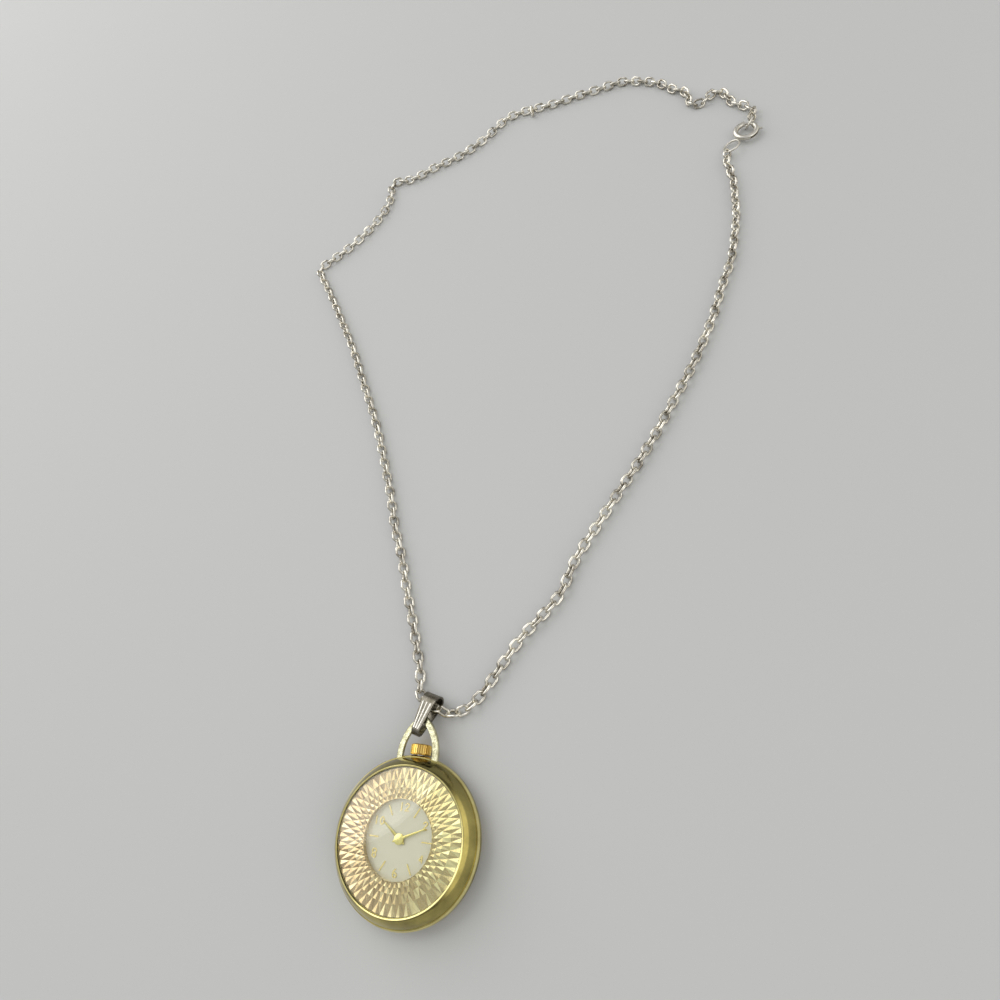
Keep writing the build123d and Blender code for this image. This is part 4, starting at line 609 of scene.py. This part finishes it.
# The colour is mixed towards a dark brown between the flutes, by the angle round the crown's axis.
crown_flute_darkening = crown_nodes.new("ShaderNodeMix")
crown_flute_darkening.data_type = "RGBA"
crown_flute_darkening.inputs["B"].default_value = (0.40, 0.20, 0.04, 1.0)
crown_links.new(crown_place.outputs["Object"], crown_split.inputs["Vector"])
crown_links.new(crown_split.outputs["Z"], crown_rise.inputs[0])
crown_links.new(crown_rise.outputs["Value"], crown_angle.inputs[0])
crown_links.new(crown_split.outputs["X"], crown_angle.inputs[1])
crown_links.new(crown_angle.outputs["Value"], crown_turns.inputs[0])
crown_links.new(crown_turns.outputs["Value"], crown_wave.inputs[0])
crown_links.new(crown_wave.outputs["Value"], crown_groove.inputs["Value"])
crown_links.new(crown_groove.outputs["Result"], crown_flute_darkening.inputs["Factor"])
crown_links.new(crown_nodes["plating"].outputs["Color"], crown_flute_darkening.inputs["A"])
crown_links.new(crown_flute_darkening.outputs["Result"], crown_nodes["Principled BSDF"].inputs["Base Color"])
dress(crown_gold, "crown")

# ARCH
# A pointed arch of flat gold-plated band that springs from the case on both sides of the crown.
arch_gold = metal("arch_gold", (0.76, 0.74, 0.50), (0.28, 0.25, 0.13), wear=0.9, blotch_scale=900,
                  grain_scale=2600, rough=0.12, spread=0.2, relief=0.35)
dress(arch_gold, "pendant_arch")

# BAIL
# A strap of dark silver with three ribs along it, folded over the arch and closed round the chain.
# The ribs stand proud of the strap and are worn bright.
bail_foot = Vector((-0.0009, 0.0233, 0.00405))
bail_turn = radians(16)
bail_lean = radians(-4.09)
bail_foot_radius = 0.0015
rib_proud = 0.00009
bail_pewter = metal("bail_pewter", (0.24, 0.22, 0.18), (0.09, 0.08, 0.05), wear=0.7, blotch_scale=700,
                    grain_scale=2600, rough=0.18, spread=0.2, relief=0.3)
bail_worn = metal("bail_worn", (0.86, 0.83, 0.75), (0.50, 0.47, 0.40), wear=0.6, blotch_scale=900,
                  grain_scale=2600, rough=0.18, spread=0.15, relief=0.2)
dress(bail_pewter, "bail")
bail_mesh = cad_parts["bail"].data
bail_mesh.materials.append(bail_worn)
bail_way = Vector((sin(bail_turn), cos(bail_turn), 0))
bail_front = Vector((0, 0, 1)) * cos(bail_lean) - bail_way * sin(bail_lean)
bail_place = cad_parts["bail"].matrix_world
for face in bail_mesh.polygons:
    if (bail_place @ face.center - bail_foot).dot(bail_front) > bail_foot_radius + rib_proud:
        face.material_index = 1

# RINGS AND CLASP
# A spring ring clasp of satin silver tube, joined to the chain by a small ring at its eye and to
# the other end by a thin jump ring.
clasp_silver = metal("clasp_silver", (0.72, 0.69, 0.62), (0.45, 0.42, 0.36), wear=0.5, blotch_scale=600,
                     grain_scale=3200, rough=0.24, spread=0.15, relief=0.15)
dress(clasp_silver, "clasp_ring", "clasp_bolt", "clasp_spring", "closing_ring", "split_ring")
dress(chain_metal, "spare_link")

# MOVEMENT
# The hand-wound movement that the case hides: nickel-plated plate and bridges, gilt wheels, steel
# winding parts and ruby jewels, in a moulded ring.
plate_nickel = metal("plate_nickel", (0.70, 0.68, 0.62), (0.55, 0.52, 0.44), wear=0.4, blotch_scale=500,
                     grain_scale=2500, rough=0.28, spread=0.1, relief=0.2)
wheel_gilt = metal("wheel_gilt", (0.82, 0.62, 0.26), (0.66, 0.46, 0.18), wear=0.4, blotch_scale=900,
                   grain_scale=4000, rough=0.2, spread=0.1, relief=0.1)
steel_fine = metal("steel_fine", (0.60, 0.61, 0.63), (0.45, 0.46, 0.48), wear=0.3, blotch_scale=900,
                   grain_scale=4000, rough=0.2, spread=0.1, relief=0.1)
dress(plate_nickel, "main_plate", "barrel_bridge", "train_bridge", "pallet_bridge", "balance_cock")
dress(wheel_gilt, "centre_wheel", "third_wheel", "fourth_wheel", "mainspring_barrel", "barrel_cover",
      "balance_wheel", "minute_wheel")
dress(steel_fine, "bridge_screws", "mainspring", "barrel_arbor", "escape_wheel", "pallet_fork",
      "hairspring", "winding_pinion", "sliding_pinion", "winding_stem", "crown_wheel",
      "crown_wheel_stud", "ratchet_wheel", "click", "click_screw", "click_spring", "setting_lever",
      "lever_screw", "crown_tube")
gloss_spread = 0.15


def moulded(name, first, second, rough):
    """A plain moulded or pressed material with a slight change of tone and gloss."""
    made = bpy.data.materials.new(name)
    made.use_nodes = True
    nodes, links = made.node_tree.nodes, made.node_tree.links
    shader = nodes["Principled BSDF"]
    place = nodes.new("ShaderNodeTexCoord")
    mottle = nodes.new("ShaderNodeTexNoise")
    mottle.inputs["Scale"].default_value = 900.0
    ramp = nodes.new("ShaderNodeValToRGB")
    ramp.color_ramp.elements[0].color = (*first, 1.0)
    ramp.color_ramp.elements[1].color = (*second, 1.0)
    gloss = nodes.new("ShaderNodeMapRange")
    gloss.inputs["To Min"].default_value = rough
    gloss.inputs["To Max"].default_value = rough + gloss_spread
    links.new(place.outputs["Object"], mottle.inputs["Vector"])
    links.new(mottle.outputs["Fac"], ramp.inputs["Fac"])
    links.new(mottle.outputs["Fac"], gloss.inputs["Value"])
    links.new(ramp.outputs["Color"], shader.inputs["Base Color"])
    links.new(gloss.outputs["Result"], shader.inputs["Roughness"])
    return made


dress(moulded("holder_white", (0.78, 0.77, 0.72), (0.86, 0.85, 0.81), rough=0.5), "movement_holder")
dress(moulded("gasket_black", (0.03, 0.03, 0.03), (0.06, 0.06, 0.06), rough=0.6), "back_gasket")
dress(moulded("jewel_ruby", (0.45, 0.03, 0.10), (0.60, 0.06, 0.16), rough=0.1), "jewel_bearings")

# STAGE
# A pale table, soft round lamps from the upper left and the right, and a quiet sky that is brighter
# low on the right.
table_reach = 20.0
table_drop = 0.00002
floor_bm = bmesh.new()
bmesh.ops.create_grid(floor_bm, x_segments=1, y_segments=1, size=table_reach)
floor_mesh = bpy.data.meshes.new("table_top")
floor_bm.to_mesh(floor_mesh)
floor_bm.free()
floor = bpy.data.objects.new("table_top", floor_mesh)
floor.location = (0, 0, -table_drop)
scene.collection.objects.link(floor)
floor_paint = bpy.data.materials.new("table_pale")
floor_paint.use_nodes = True
floor_shader = floor_paint.node_tree.nodes["Principled BSDF"]
floor_shader.inputs["Base Color"].default_value = (0.56, 0.56, 0.55, 1.0)
floor_shader.inputs["Roughness"].default_value = 0.7
floor_mesh.materials.append(floor_paint)


def lamp(name, place, aim, size, power):
    """A soft round lamp that faces a point."""
    data = bpy.data.lights.new(name, "AREA")
    data.shape = "DISK"
    data.size = size
    data.energy = power
    made = bpy.data.objects.new(name, data)
    made.location = place
    made.rotation_mode = "QUATERNION"
    made.rotation_quaternion = (Vector(aim) - Vector(place)).to_track_quat("-Z", "Y")
    scene.collection.objects.link(made)


lamp_aim = (0.0, 0.08, 0.0)
lamp("key_lamp", place=(-1.41, 0.99, 1.20), aim=lamp_aim, size=2.8, power=30.0)
lamp("fill_lamp", place=(1.3, -0.6, 1.2), aim=lamp_aim, size=1.2, power=4.0)
sky = bpy.data.worlds.new("sky")
sky.use_nodes = True
sky_nodes, sky_links = sky.node_tree.nodes, sky.node_tree.links
sky_place = sky_nodes.new("ShaderNodeTexCoord")
sky_split = sky_nodes.new("ShaderNodeSeparateXYZ")
sky_side = sky_nodes.new("ShaderNodeMapRange")
sky_side.inputs["From Min"].default_value = 0.40
sky_side.inputs["From Max"].default_value = 0.75
sky_low = sky_nodes.new("ShaderNodeMix")
sky_low.data_type = "RGBA"
sky_low.inputs["A"].default_value = (0.34, 0.33, 0.30, 1.0)
sky_low.inputs["B"].default_value = (1.7, 1.66, 1.5, 1.0)
sky_rise = sky_nodes.new("ShaderNodeMapRange")
sky_rise.inputs["From Min"].default_value = 0.2
sky_rise.inputs["From Max"].default_value = 0.7
sky_whole = sky_nodes.new("ShaderNodeMix")
sky_whole.data_type = "RGBA"
sky_whole.inputs["B"].default_value = (0.86, 0.87, 0.88, 1.0)
sky_links.new(sky_place.outputs["Generated"], sky_split.inputs["Vector"])
sky_links.new(sky_split.outputs["X"], sky_side.inputs["Value"])
sky_links.new(sky_split.outputs["Z"], sky_rise.inputs["Value"])
sky_links.new(sky_side.outputs["Result"], sky_low.inputs["Factor"])
sky_links.new(sky_low.outputs["Result"], sky_whole.inputs["A"])
sky_links.new(sky_rise.outputs["Result"], sky_whole.inputs["Factor"])
sky_links.new(sky_whole.outputs["Result"], sky_nodes["Background"].inputs["Color"])
sky_nodes["Background"].inputs["Strength"].default_value = 0.7
scene.world = sky
